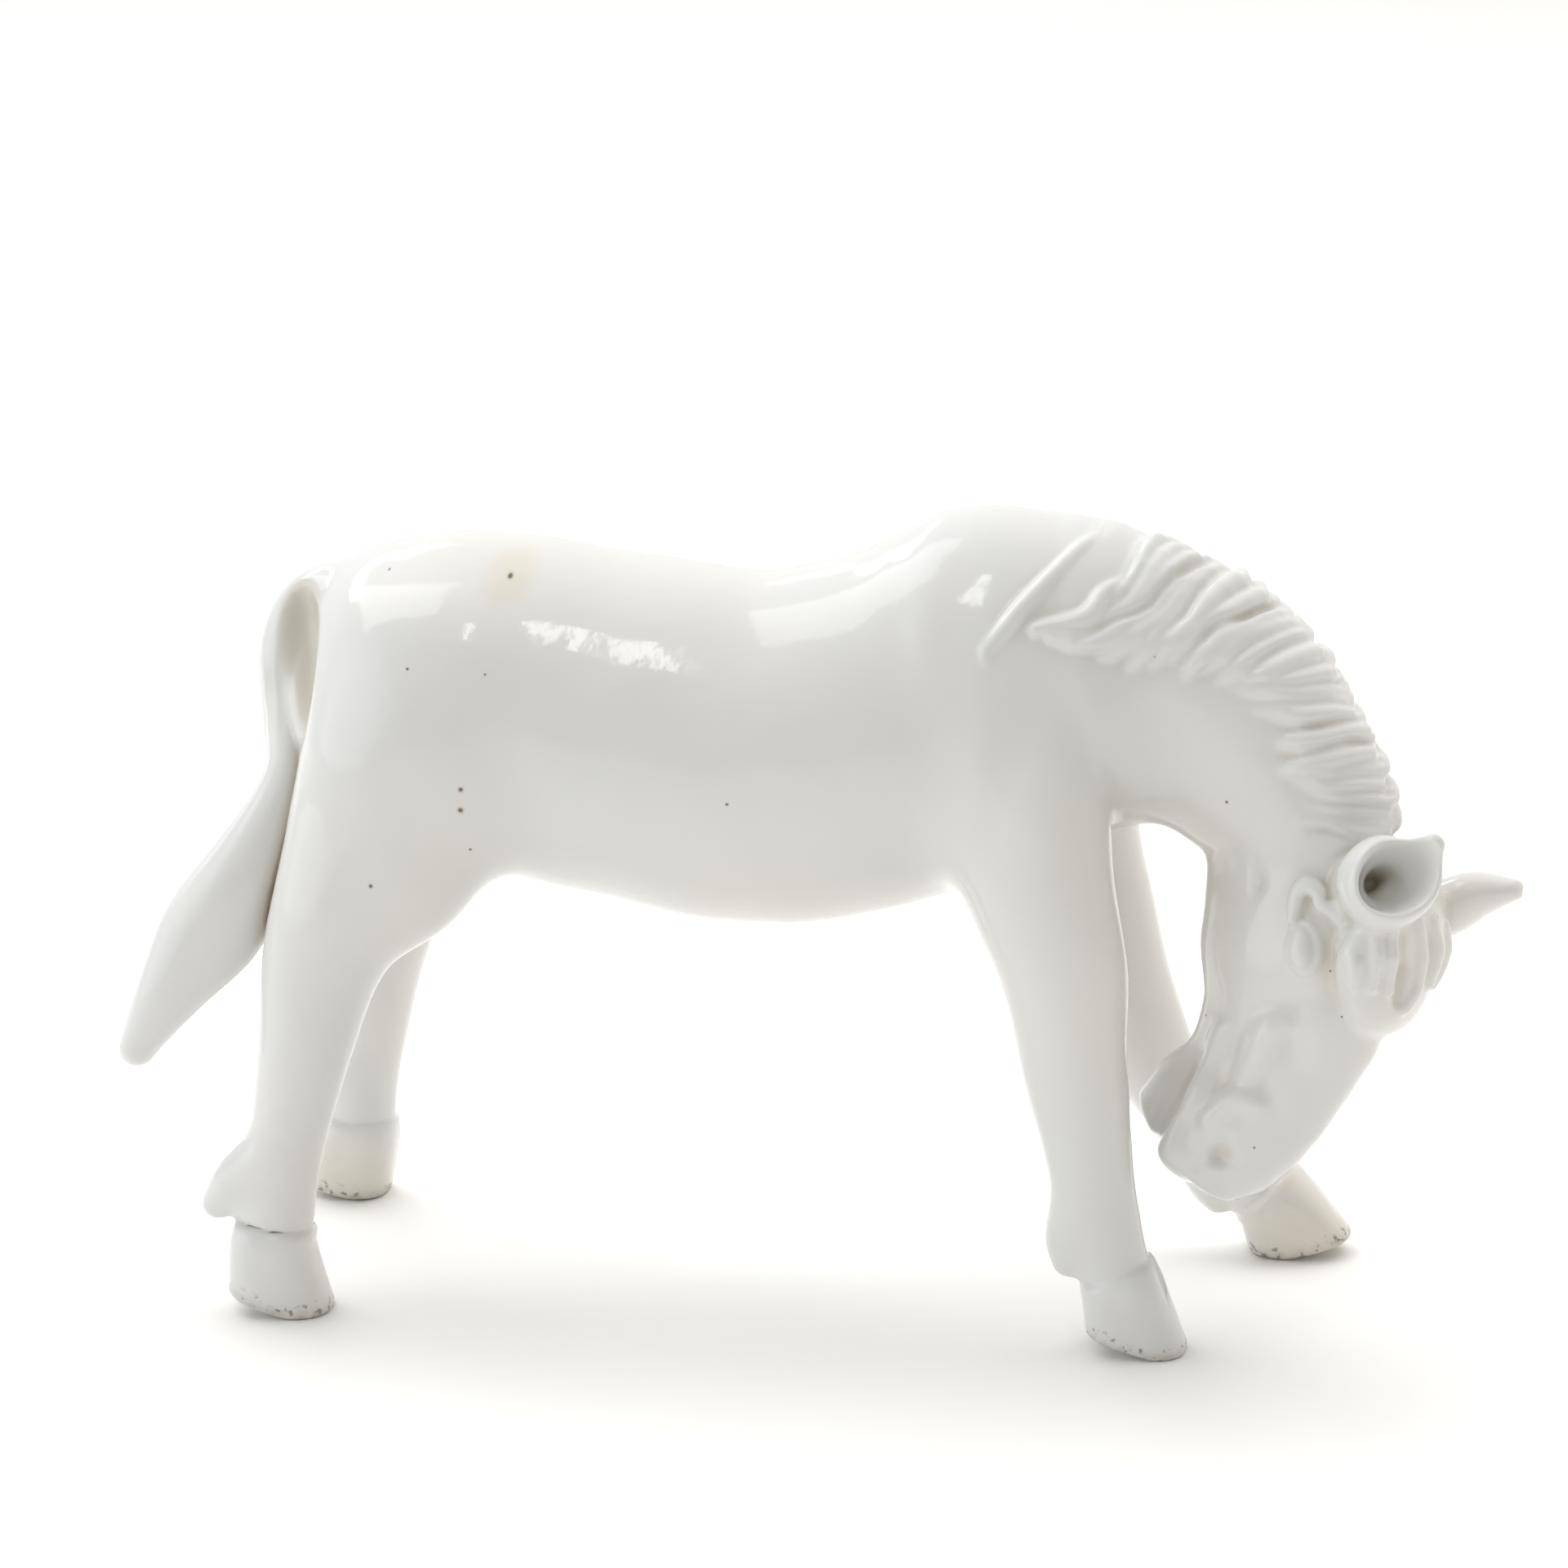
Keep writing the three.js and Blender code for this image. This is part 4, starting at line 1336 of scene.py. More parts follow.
    def model_lips(self, clay: Clay, side: Side) -> None:
        """Draw the mouth on round the front of the lips.

        Args:
            clay: The clay.
            side: Right or left.
        """
        start = self.laid(clay, self.mouth, side, self.mouth_lift, 2)[-1]
        front = self.out(np.array([self.length, 0, self.mouth_front * self.depth]))
        groove = clay.rolled(np.array([start, front]), (self.mouth_radius, self.mouth_radius))
        clay.carve(groove, self.mouth_edge)

    def model_eye(self, clay: Clay, side: Side) -> None:
        """Press in the socket, set the eyeball and lay the lids round it.

        Args:
            clay: The clay.
            side: Right or left.
        """
        seat = self.laid(clay, (self.eye, self.eye), side, self.eye_lift, 2)[0]
        turn = np.array(self.turn.to_matrix()).T
        run, slant = self.eye_slant
        axes = np.array([(run, 0, slant), (-slant, 0, run), (0, side.value, 0)])
        circle = np.linspace(0, 2 * math.pi, self.lid_points)
        long, high = self.lid_size
        lids = long * np.cos(circle)[:, None] * axes[0] + high * np.sin(circle)[:, None] * axes[1]
        lids = np.array(self.eye) + lids[:, ::2] / (self.length, self.depth)
        clay.carve(clay.oval(seat, axes @ turn, self.socket, self.roll_kept), self.socket_edge)
        line = self.laid(clay, lids, side, self.lid_lift, self.lid_points)
        roll = clay.rolled(line, np.full(self.lid_points, self.lid_radius), self.roll_kept)
        clay.join("head", roll, self.lid_fillet)
        eyeball = clay.oval(seat, axes @ turn, self.eyeball, self.roll_kept)
        clay.join(f"eye_{side.name.lower()}", eyeball, self.eye_fillet)


@dataclass
class Ear:
    """A cup of clay that points out from beside the poll, scooped from the front."""

    head: Head
    side: Side
    direction: Triple
    back: Triple
    pinch: float
    length: float = 8.6
    sweep: float = 5
    width: float = 7.6
    depth: float = 8.4
    tip: float = 0.7
    along: float = 0.016
    angle: float = 41.5
    facets: int = 64
    kept: float = 3.0
    fillet: float = 0.8
    edge: float = 0.9
    rings: Rows = (
        (-0.291, 0, 0.38, 0.33, 0.05),
        (0.151, 0, 0.46, 0.37, 0.09),
        (0.512, 0.1, 0.56, 0.53, 0.12),
        (0.791, 0.46, 0.46, 0.43, 0.14),
        (1, 0.98, 0.13, 0.12, 0.07),
    )
    hollow: Rows = (
        (0.0, 0.16, 0.11, 0.11, 0.10),
        (0.40, 0.12, 0.19, 0.2, 0.10),
        (0.62, 0.1, 0.3, 0.35, 0.11),
        (0.86, 0.1, 0.42, 0.43, 0.12),
        (1.209, 0.1, 0.56, 0.52, 0.12),
    )

    def loft(self, rings: Rows) -> Loft:
        """The skin of the ear or of its hollow, in the head's frame.

        Args:
            rings: Each ring's reach, sweep, half-width, half-depth and shift.

        Returns:
            The loft.
        """
        direction = np.asarray(self.direction) / np.linalg.norm(self.direction)
        back = np.asarray(self.back) - direction * (np.asarray(self.back) @ direction)
        back /= np.linalg.norm(back)
        skin = self.head.loft()
        angle = self.side.value * math.radians(self.angle)
        root = skin.skin(np.array(skin.place_at(self.along * self.head.length)), angle)
        placed = []
        left = np.cross(back, direction)
        for reach, drawn, wide, deep, aside in rings:
            at = root + direction * reach * self.length + back * drawn * self.sweep
            at = at + left * aside * self.width
            half = deep * self.depth
            placed.append(Ring(tuple(at), wide * self.width * self.pinch, half, half))
        left = tuple(left)
        return Loft(placed, (0, self.tip), (left, left))

    def model(self, clay: Clay) -> None:
        """Set the ear and scoop its hollow.

        Args:
            clay: The clay.
        """
        name = f"ear_{self.side.name.lower()}"
        cup, scoop = (
            clay.pressed(self.loft(rings).solid(self.facets).placed(self.head.hang), self.kept)
            for rings in (self.rings, self.hollow)
        )
        clay.join(name, cup, self.fillet)
        clay.carve(scoop, self.edge)


@dataclass
class Forelock:
    """A thick pad of hair that hangs over the forehead from between the ears, with locks laid on it."""

    head: Head
    pads: tuple[tuple[float, float, float, Triple], ...] = (
        (0.04, -6.0, 8.7, (4.6, 5.4, 2.5)),
        (0.15, -8.0, 9.5, (5.6, 6.8, 2.8)),
        (0.26, -4.0, 10.3, (3.6, 5.2, 2.3)),
    )
    locks: tuple[tuple[Line, float], ...] = (
        (((0.12, -42), (0.19, -38), (0.235, -35)), 0.8),
        (((0.085, -35), (0.15, -31), (0.225, -27)), 0.85),
        (((0.06, -28), (0.14, -24), (0.22, -18.5)), 0.85),
        (((0.01, -15), (0.09, -7), (0.18, -3), (0.255, -5)), 0.9),
        (((0.01, -2), (0.09, 6), (0.18, 9)), 0.9),
        (((0.02, 14), (0.1, 20), (0.19, 22)), 0.9),
    )
    parting: Line = ((0.065, -22), (0.15, -15), (0.245, -11))
    points: int = 13
    inside: float = 0.3
    outside: float = 16
    kept: float = 2.0
    pad_fillet: float = 1.2
    lock_lift: float = -0.25
    lock_shape: Line = ((0, 0.75), (5, 1), (12, 0.85))
    lock_fillet: float = 0.3
    parting_lift: float = 0.25
    parting_radii: Line = ((0, 0.5), (6, 0.85), (12, 0.7))
    parting_edge: float = 0.5

    def over(self, ahead: float, degrees: float, reach: float) -> np.ndarray:
        """A point at a distance from the head's middle line, in the head's frame."""
        turn = math.radians(degrees)
        return np.array([ahead * self.head.length, reach * math.sin(turn), reach * math.cos(turn)])

    def laid(self, clay: Clay, places: Line, lift: float) -> np.ndarray:
        """A smooth line on the pad, in the figurine's frame.

        Args:
            clay: The clay as it is so far.
            places: Shares of the head's length, and degrees from its forehead.
            lift: Distance off the skin.

        Returns:
            The points.
        """
        bend = Spline(places).at(np.linspace(0, 1, self.points))
        path = np.array([self.over(ahead, degrees, self.outside) for ahead, degrees in bend])
        inner = path * (1, self.inside, self.inside)
        return clay.left_at(self.head.out(inner), self.head.out(path), lift)

    def model(self, clay: Clay) -> None:
        """Lay the pads over each other, the locks on them, and draw the parting.

        Args:
            clay: The clay.
        """
        turn = np.array(self.head.turn.to_matrix()).T
        for ahead, degrees, reach, radii in self.pads:
            out = self.over(0, degrees, 1)
            axes = np.stack([(1, 0, 0), np.cross(out, (1, 0, 0)), out])
            pad = clay.oval(self.head.out(self.over(ahead, degrees, reach)), axes @ turn, radii)
            clay.join("forelock", pad, self.pad_fillet)
        run = np.arange(self.points)
        lines = [(self.laid(clay, places, self.lock_lift), radius) for places, radius in self.locks]
        for line, radius in lines:
            lock = clay.rolled(line, radius * shaped(run, self.lock_shape), self.kept)
            clay.join("forelock", lock, self.lock_fillet)
        line = self.laid(clay, self.parting, self.parting_lift)
        clay.carve(clay.rolled(line, shaped(run, self.parting_radii), self.kept), self.parting_edge)


@dataclass(frozen=True)
class Groove:
    """A line drawn in the mane with a pointed tool: shares along the neck and degrees from its crest."""

    path: Line
    depth: float = 0.95
    width: float = 0.42


@dataclass
class Mane:
    """A sheet of clay over the crest, combed into locks with a pointed tool."""

    neck: Neck
    end: float = 0.985
    end_span: Pair = (-0.04, 0.012)
    rear_edge: Triple = (0.235, 0.125, 66)
    rear_bend: Pair = (1.1, 2.2)
    rear_span: Pair = (-0.01, 0.03)
    side_span: Pair = (-30, 4)
    owned: float = 0.12
    stands: Line = ((0.0, 0.5), (0.3, 0.6), (0.5, 0.75), (0.8, 0.8), (1.0, 0.8))
    spine_points: int = 121
    around: float = 18
    skin_band: float = 2.2
    batch: int = 40000
    rays: Triple = (4, 24, 0.05)
    line_points: int = 13
    left_shift: float = 0.014
    crest_start: Pair = (0.012, 5.0)
    crest_top: float = -20
    roll_gap: float = 1.75
    roll_wander: Triple = (0.06, 5.1, 2.3)
    roll_fall: float = 1.04
    roll_radius: Triple = (0.55, 0.42, 1.1)
    roll_shape: Line = ((0, 0.8), (0.2, 1), (0.75, 1), (1, 0.7))
    roll_lift: Line = ((0, 0.25), (0.15, 0.5), (0.7, 0.4), (1, -0.45))
    roll_kept: float = 1.5
    roll_fillet: float = 0.4
    edge_points: int = 17
    edge_fall: Pair = (14, 76)
    edge_ahead: float = 0.012
    edge_lift: Line = ((0, -0.5), (0.2, 0.1), (0.7, 0.1), (1, -0.5))
    edge_radii: Line = ((0, 0.6), (0.5, 0.85), (1, 0.7))
    finger_lift: Line = ((0, 0.1), (0.2, 0.45), (1, 0.1))
    finger_radii: Line = ((0, 0.7), (0.6, 0.95), (1, 0.7))
    cut_top: float = 0.5
    cut_shape: Line = ((0, 0), (0.12, 0.42), (0.7, 0.42), (1, 0.1))
    cut_kept: float = 1.2
    cut_edge: float = 0.25
    fingers: tuple[Line, ...] = (
        ((0.30, -38), (0.27, -46), (0.245, -60), (0.177, -66)),
        ((0.325, -58), (0.27, -68), (0.205, -69)),
    )
    edge: Line = (
        (0.10, 67),
        (0.205, 66),
        (0.27, 70),
        (0.35, 68),
        (0.435, 64),
        (0.517, 60),
        (0.6, 57),
        (0.703, 60),
        (0.828, 66),
        (0.958, 70),
    )
    grooves: tuple[Groove, ...] = (
        Groove(((0.30, -6), (0.292, -33), (0.283, -45), (0.283, -52)), 0.8),
        Groove(
            ((0.385, -5), (0.36, -24), (0.345, -36), (0.333, -47), (0.305, -54), (0.285, -59), (0.27, -63),
             (0.245, -70), (0.208, -73)), 1.25, 0.5,
        ),
        Groove(((0.41, -8), (0.395, -29), (0.39, -43), (0.375, -53), (0.367, -60), (0.357, -67)), 1.0),
        Groove(((0.503, -8), (0.475, -28), (0.448, -37), (0.435, -46), (0.422, -56), (0.417, -61)), 1.1),
        Groove(((0.565, -12), (0.542, -34), (0.53, -45), (0.512, -56))),
        Groove(((0.65, -10), (0.613, -34), (0.575, -45), (0.532, -55)), 1.0),
        Groove(((0.695, -10), (0.642, -37), (0.6, -50))),
        Groove(((0.73, -8), (0.688, -38), (0.645, -52))),
        Groove(((0.775, -8), (0.735, -40), (0.705, -53), (0.688, -60))),
        Groove(((0.81, -10), (0.78, -43), (0.74, -60))),
        Groove(((0.842, -10), (0.8, -44), (0.768, -60))),
        Groove(((0.878, -8), (0.835, -41), (0.785, -61)), 1.2),
        Groove(((0.92, -8), (0.863, -42), (0.805, -63)), 1.2),
        Groove(((0.955, -6), (0.89, -45), (0.828, -65)), 1.2),
        Groove(((0.975, -12), (0.91, -44), (0.85, -70)), 1.2),
        Groove(((0.965, -45), (0.91, -57), (0.87, -74)), 1.1),
    )

    def rear(self, angle: np.ndarray) -> np.ndarray:
        """Shares along the neck at which the sheet begins, further back the lower it lies.

        Args:
            angle: Degrees from the crest.

        Returns:
            One share for each angle.
        """
        top, back, low = self.rear_edge
        most, power = self.rear_bend
        return top - back * np.minimum(np.abs(angle) / low, most) ** power

    def near_crest(self, clay: Clay) -> tuple[Window, np.ndarray, np.ndarray, np.ndarray]:
        """Places of the clay's cells near the crest, as shares along the neck and angles from its crest.

        Args:
            clay: The clay.

        Returns:
            The window, the cells in it that lie near the skin, their places and angles in degrees.
        """
        loft = self.neck.loft()
        t = np.linspace(0, 1, self.spine_points)
        centre, forward, left, up = (part.astype(np.float32) for part in loft.axes(t))
        pace = np.linalg.norm(np.gradient(centre, t, axis=0), axis=1)
        window = clay.window(centre.min(0) - self.around, centre.max(0) + self.around)
        near = np.abs(clay.field[window]) < self.skin_band
        cells = np.stack([np.broadcast_to(side, near.shape)[near] for side in clay.grid(window)], axis=1)
        place, angle = np.zeros(len(cells)), np.zeros(len(cells))
        for start in range(0, len(cells), self.batch):
            some = slice(start, start + self.batch)
            part = cells[some]
            away = np.sum(centre * centre, axis=1)[None, :] - 2 * part @ centre.T
            best = np.argmin(away, axis=1)
            arm = part - centre[best]
            place[some] = t[best] + np.sum(arm * forward[best], axis=1) / pace[best]
            angle[some] = np.arctan2(np.sum(arm * left[best], axis=1), np.sum(arm * up[best], axis=1))
        return window, near, place, np.degrees(angle)

    def over_skin(self, clay: Clay, path: np.ndarray, lift: np.ndarray | float) -> np.ndarray:
        """Points over the clay's skin.

        Args:
            clay: The clay before the mane is laid on it.
            path: Shares along the neck and degrees from its crest.
            lift: Distance off the skin, less than zero for points inside it.

        Returns:
            One point for each place.
        """
        centre, _, left, up = self.neck.loft().axes(path[:, 0])
        turn = np.radians(path[:, 1])[:, None]
        ray = left * np.sin(turn) + up * np.cos(turn)
        reach = np.arange(*self.rays)
        points = centre[:, None, :] + ray[:, None, :] * reach[None, :, None]
        distances = clay.sample(points.reshape(-1, 3)).reshape(len(path), -1)
        first = np.argmax(distances > np.broadcast_to(lift, len(path))[:, None], axis=1)
        return points[np.arange(len(path)), first]

    def lines(self, side: Side) -> list[np.ndarray]:
        """The grooves of one side, from over the crest down.

        Args:
            side: Right or left.

        Returns:
            Places along the neck and degrees from its crest, for each groove.
        """
        drawn = []
        run = np.linspace(0, 1, self.line_points)
        ahead, over = self.crest_start
        for number, groove in enumerate(self.grooves):
            shift = 0.0 if side is Side.RIGHT else self.left_shift * (-1) ** number
            (first, top), *_ = groove.path
            start = [(first + ahead, over)] if top > self.crest_top else []
            path = [*start, *groove.path]
            drawn.append(Spline([(t + shift, -side.value * angle) for t, angle in path]).at(run))
        return drawn

    def rolls(self, clay: Clay) -> list[Lump]:
        """Rolls of clay that lie between the grooves and sink into the neck at their lower ends.

        Args:
            clay: The clay before the mane is laid on it.

        Returns:
            The rolls.
        """
        made = []
        run = np.linspace(0, 1, self.line_points)
        sway, by_groove, by_roll = self.roll_wander
        share, thinnest, thickest = self.roll_radius
        for side in Side:
            lines = self.lines(side)[:-1]
            for number, (behind, before) in enumerate(zip(lines, lines[1:])):
                ahead, back = (self.over_skin(clay, line, 1) for line in (before, behind))
                gap = np.linalg.norm(ahead - back, axis=1)
                count = max(1, round(float(gap.mean()) / self.roll_gap))
                radii = np.clip(share * gap / count, thinnest, thickest) * shaped(run, self.roll_shape)
                for roll in range(count):
                    wander = sway * math.sin(by_groove * number + by_roll * roll + side.value)
                    path = behind + (before - behind) * ((roll + 0.5 + wander) / count)
                    path[:, 1] *= self.roll_fall + wander
                    middle = self.over_skin(clay, path, shaped(run, self.roll_lift))
                    made.append(clay.rolled(middle, radii, self.roll_kept))
        return made

    def extras(self, clay: Clay) -> list[Lump]:
        """The roll along the rear edge and the loose fingers of hair in front of it, on both sides.

        Args:
            clay: The clay before the mane is laid on it.

        Returns:
            The rolls.
        """
        made = []
        run = np.linspace(0, 1, self.edge_points)
        fall = np.linspace(*self.edge_fall, self.edge_points)
        for side in Side:
            edge = np.stack([self.rear(fall) + self.edge_ahead, side.value * fall], axis=1)
            middle = self.over_skin(clay, edge, shaped(run, self.edge_lift))
            made.append(clay.rolled(middle, shaped(run, self.edge_radii), self.roll_kept))
            for finger in self.fingers:
                bend = Spline([(t, -side.value * angle) for t, angle in finger]).at(run)
                middle = self.over_skin(clay, bend, shaped(run, self.finger_lift))
                made.append(clay.rolled(middle, shaped(run, self.finger_radii), self.roll_kept))
        return made

    def cuts(self, clay: Clay) -> list[Lump]:
        """The strokes of the pointed tool.

        Args:
            clay: The clay with the mane laid on it.

        Returns:
            The strokes, to be carved.
        """
        made = []
        run = np.linspace(0, 1, self.line_points)
        for side in Side:
            for line, groove in zip(self.lines(side), self.grooves):
                lift = self.cut_top - groove.depth * shaped(run, self.cut_shape)
                radii = np.full(self.line_points, groove.width)
                made.append(clay.rolled(self.over_skin(clay, line, lift), radii, self.cut_kept))
        return made

    def model(self, clay: Clay) -> None:
        """Lay a thin sheet over the crest, lay the locks on it and comb them.

        Args:
            clay: The clay.
        """
        rolls = self.rolls(clay) + self.extras(clay)
        window, near, place, angle = self.near_crest(clay)
        stands, edge = shaped(place, self.stands), shaped(place, self.edge)
        before_end = 1 - smooth(place, *(self.end + part for part in self.end_span))
        inside = smooth(place - self.rear(angle), *self.rear_span) * before_end
        inside = inside * (1 - smooth(np.abs(angle) - edge, *self.side_span))
        field = clay.field[window]
        field[near] = field[near] - (stands * inside).astype(np.float32)
        for roll in rolls:
            clay.join("mane", roll, self.roll_fillet)
        for cut in self.cuts(clay):
            clay.carve(cut, self.cut_edge)
        owner = clay.owner[window]
        marked = owner[near]
        marked[inside > self.owned] = clay.pieces.index("mane")
        owner[near] = marked


# ---------------------------------------------------------------------------------------------------
# Finishes
# ---------------------------------------------------------------------------------------------------


class Value:
    """A shader socket that holds a number, with the sums that are used on it."""

    def __init__(self, shader: "Shader", socket: bpy.types.NodeSocket) -> None:
        """Keep the socket and the shader that it belongs to."""
        self.shader, self.socket = shader, socket

    def _sum(self, operation: str, *terms: "Value | float") -> "Value":
        """The result of a Math node on terms."""
        made = self.shader.node("ShaderNodeMath", {"operation": operation}, *terms)
        return Value(self.shader, made.outputs[0])

    def __add__(self, other: "Value | float") -> "Value":
        """Sum of two values."""
        return self._sum("ADD", self, other)

    __radd__ = __add__

    def __mul__(self, other: "Value | float") -> "Value":
        """Product of two values."""
        return self._sum("MULTIPLY", self, other)

    __rmul__ = __mul__

    def __sub__(self, other: "Value | float") -> "Value":
        """Difference of two values."""
        return self._sum("SUBTRACT", self, other)

    def __rsub__(self, other: float) -> "Value":
        """Difference of a number and this value."""
        return self._sum("SUBTRACT", other, self)

    def __pow__(self, power: float) -> "Value":
        """This value to a power."""
        return self._sum("POWER", self, power)

    def at_most(self, other: "Value | float") -> "Value":
        """The smaller of two values."""
        return self._sum("MINIMUM", self, other)

    def at_least(self, other: "Value | float") -> "Value":
        """The larger of two values."""
        return self._sum("MAXIMUM", self, other)

    def step(self, low: float, high: float) -> "Value":
        """A soft step from 0 at low to 1 at high."""
        soft = {"interpolation_type": "SMOOTHSTEP"}
        return Value(self.shader, self.shader.node("ShaderNodeMapRange", soft, self, low, high).outputs[0])


Term = Value | bpy.types.NodeSocket | float | Row | None


class Shader:
    """The node tree of a material or of the room, with one method that adds any node to it."""

    def __init__(self, owner: bpy.types.Material | bpy.types.World) -> None:
        """Start with an empty tree.

        Args:
            owner: The material or world.
        """
        owner.use_nodes = True
        self.owner = owner
        self.tree = owner.node_tree
        self.tree.nodes.clear()

    def node(
        self, kind: str, settings: dict[str, str] | None = None, *inputs: Term, **named: Term
    ) -> bpy.types.Node:
        """Add a node.

        Args:
            kind: Its type.
            settings: Its settings, which are set first.
            inputs: Values or links of its sockets in order, None to leave one.
            named: Values or links of sockets by name, with _ for a space.

        Returns:
            The node.
        """
        made = self.tree.nodes.new(kind)
        for key, value in (settings or {}).items():
            setattr(made, key, value)
        targets = list(zip(made.inputs, inputs))
        targets += [(made.inputs[key.replace("_", " ")], value) for key, value in named.items()]
        for socket, value in targets:
            if isinstance(value, Value):
                self.tree.links.new(value.socket, socket)
            elif isinstance(value, bpy.types.NodeSocket):
                self.tree.links.new(value, socket)
            elif value is not None:
                socket.default_value = value
        return made

    def mixed(
        self, share: Value, low: bpy.types.NodeSocket | Triple, high: bpy.types.NodeSocket | Triple
    ) -> bpy.types.NodeSocket:
        """Two colours mixed by a share.

        Args:
            share: 0 for the first, 1 for the second.
            low: First colour or its socket.
            high: Second colour or its socket.

        Returns:
            The mixed colour's socket.
        """
        made = self.node("ShaderNodeMix", {"data_type": "RGBA"})
        for name, value in (("Factor_Float", share.socket), ("A_Color", low), ("B_Color", high)):
            socket = next(s for s in made.inputs if s.identifier == name)
            if isinstance(value, bpy.types.NodeSocket):
                self.tree.links.new(value, socket)
            else:
                socket.default_value = (*value, 1)
        return next(s for s in made.outputs if s.identifier == "Result_Color")


@dataclass(frozen=True)
class Glaze:
    """Clear glaze over white porcelain: it pools in the hollows, with painted shade in the wider ones, and
    has specks, dirt and worn soles.
    """

    white: Triple = (0.71, 0.692, 0.66)
    shade: Triple = (0.682, 0.679, 0.667)
    # Warm brown of glaze pooled in the grooves, also used as painted shade in the wider hollows.
    pooled_and_shaded: Triple = (0.53, 0.465, 0.355)
    speck: Triple = (0.10, 0.07, 0.05)
    dirt: Triple = (0.17, 0.12, 0.08)
    bare: Triple = (0.42, 0.37, 0.31)
    soot: Triple = (0.13, 0.12, 0.105)
    rust: Triple = (0.40, 0.27, 0.15)
    stain: Triple = (0.66, 0.56, 0.41)
    roughness: float = 0.07
    bend: float = 1.5
    across: Triple = (1, 0.35, 1)
    tone_lumps: float = 38
    tone_span: Pair = (0.35, 0.68)
    pool_and_shade_lumps: float = 150
    pool_and_shade_most: float = 0.75
    dot_cells: float = 95
    dot_size: Pair = (0.008, 0.02)
    dot_few: Pair = (0.9, 0.93)
    dot_most: float = 0.85
    stain_fade: Pair = (0.15, 1.0)
    stain_most: float = 0.7
    speck_fade: Pair = (0.6, 1.25)
    rust_fade: Pair = (0.8, 2.2)
    rust_most: float = 0.35
    gloss_lumps: float = 420
    dust_lumps: float = 700
    dust_most: float = 0.85
    edge_power: float = 3.0
    edge_lumps: float = 1500
    edge_span: Pair = (0.42, 0.62)
    edge_most: float = 0.75
    fleck_lumps: float = 1250
    fleck_rise: Pair = (0.05, 0.6)
    fleck_span: Pair = (0.57, 0.66)
    fleck_most: float = 0.7
    wave_lumps: Pair = (120, 600)
    wave_shares: Pair = (0.7, 0.12)
    wave_strength: float = 0.35
    wave_height: float = 0.0006
    specks: Rows = (
        (-29.82, -16.45, 50.98, 0.20),
        (-29.91, -16.2, 49.0, 0.23),
        (-38.0, -17.61, 41.86, 0.17),
        (-29.35, -15.03, 45.01, 0.11),
        (-34.91, -14.81, 61.51, 0.12),
        (-27.83, -14.65, 61.27, 0.09),
        (-38.56, -6.14, 68.43, 0.10),
        (-27.06, -7.35, 68.61, 0.22),
        (-5.64, -16.05, 50.71, 0.13),
        (23.93, -14.62, 56.88, 0.12),
        (25.41, -13.43, 59.39, 0.10),
        (26.85, -7.37, 72.86, 0.10),
        (31.56, -9.22, 64.3, 0.12),
        (38.17, -8.78, 51.07, 0.13),
        (48.07, -12.77, 37.12, 0.09),
        (49.22, -13.07, 33.02, 0.09),
        (41.77, -13.25, 20.34, 0.10),
        (36.68, -7.89, 30.76, 0.09),
    )
    stains: Rows = (
        (-27.06, -7.35, 68.61, 3.4),
        (42.72, 12.48, 8.12, 1.8),
        (-48.9, 15.5, 2.0, 8),
        (43.3, 15.3, 2.0, 8),
    )

    def material(self, name: str, worn: bool) -> bpy.types.Material:
        """Build the glaze.

        Args:
            name: The material's name.
            worn: Whether it has the worn and dirty edge of a sole.

        Returns:
            The material.
        """
        shader = Shader(bpy.data.materials.new(name))
        place = shader.node("ShaderNodeTexCoord").outputs["Object"]

        def noise(scale: float, detail: float = 2.0) -> Value:
            """Soft noise with about so many lumps in a metre."""
            made = shader.node("ShaderNodeTexNoise", None, Vector=place, Scale=scale, Detail=detail)
            return Value(shader, made.outputs[0])

        def mark(attribute: str) -> Value:
            """A mark that the modelling left on the clay."""
            made = shader.node("ShaderNodeAttribute", {"attribute_name": attribute})
            return Value(shader, made.outputs["Fac"])

        scaling = {"operation": "MULTIPLY"}
        squeezed = shader.node("ShaderNodeVectorMath", scaling, place, self.across).outputs[0]

        def nearest(spots: Rows) -> Value:
            """Distance to the nearest of some spots, in its own radii.

            Args:
                spots: Places and radii, in mm.

            Returns:
                The distance.
            """
            least = None
            for *at, radius in spots:
                middle = tuple(part * wide * MM for part, wide in zip(at, self.across))
                made = shader.node("ShaderNodeVectorMath", {"operation": "DISTANCE"}, squeezed, middle)
                away = Value(shader, made.outputs["Value"]) * (1 / (radius * MM))
                least = away if least is None else least.at_most(away)
            return least

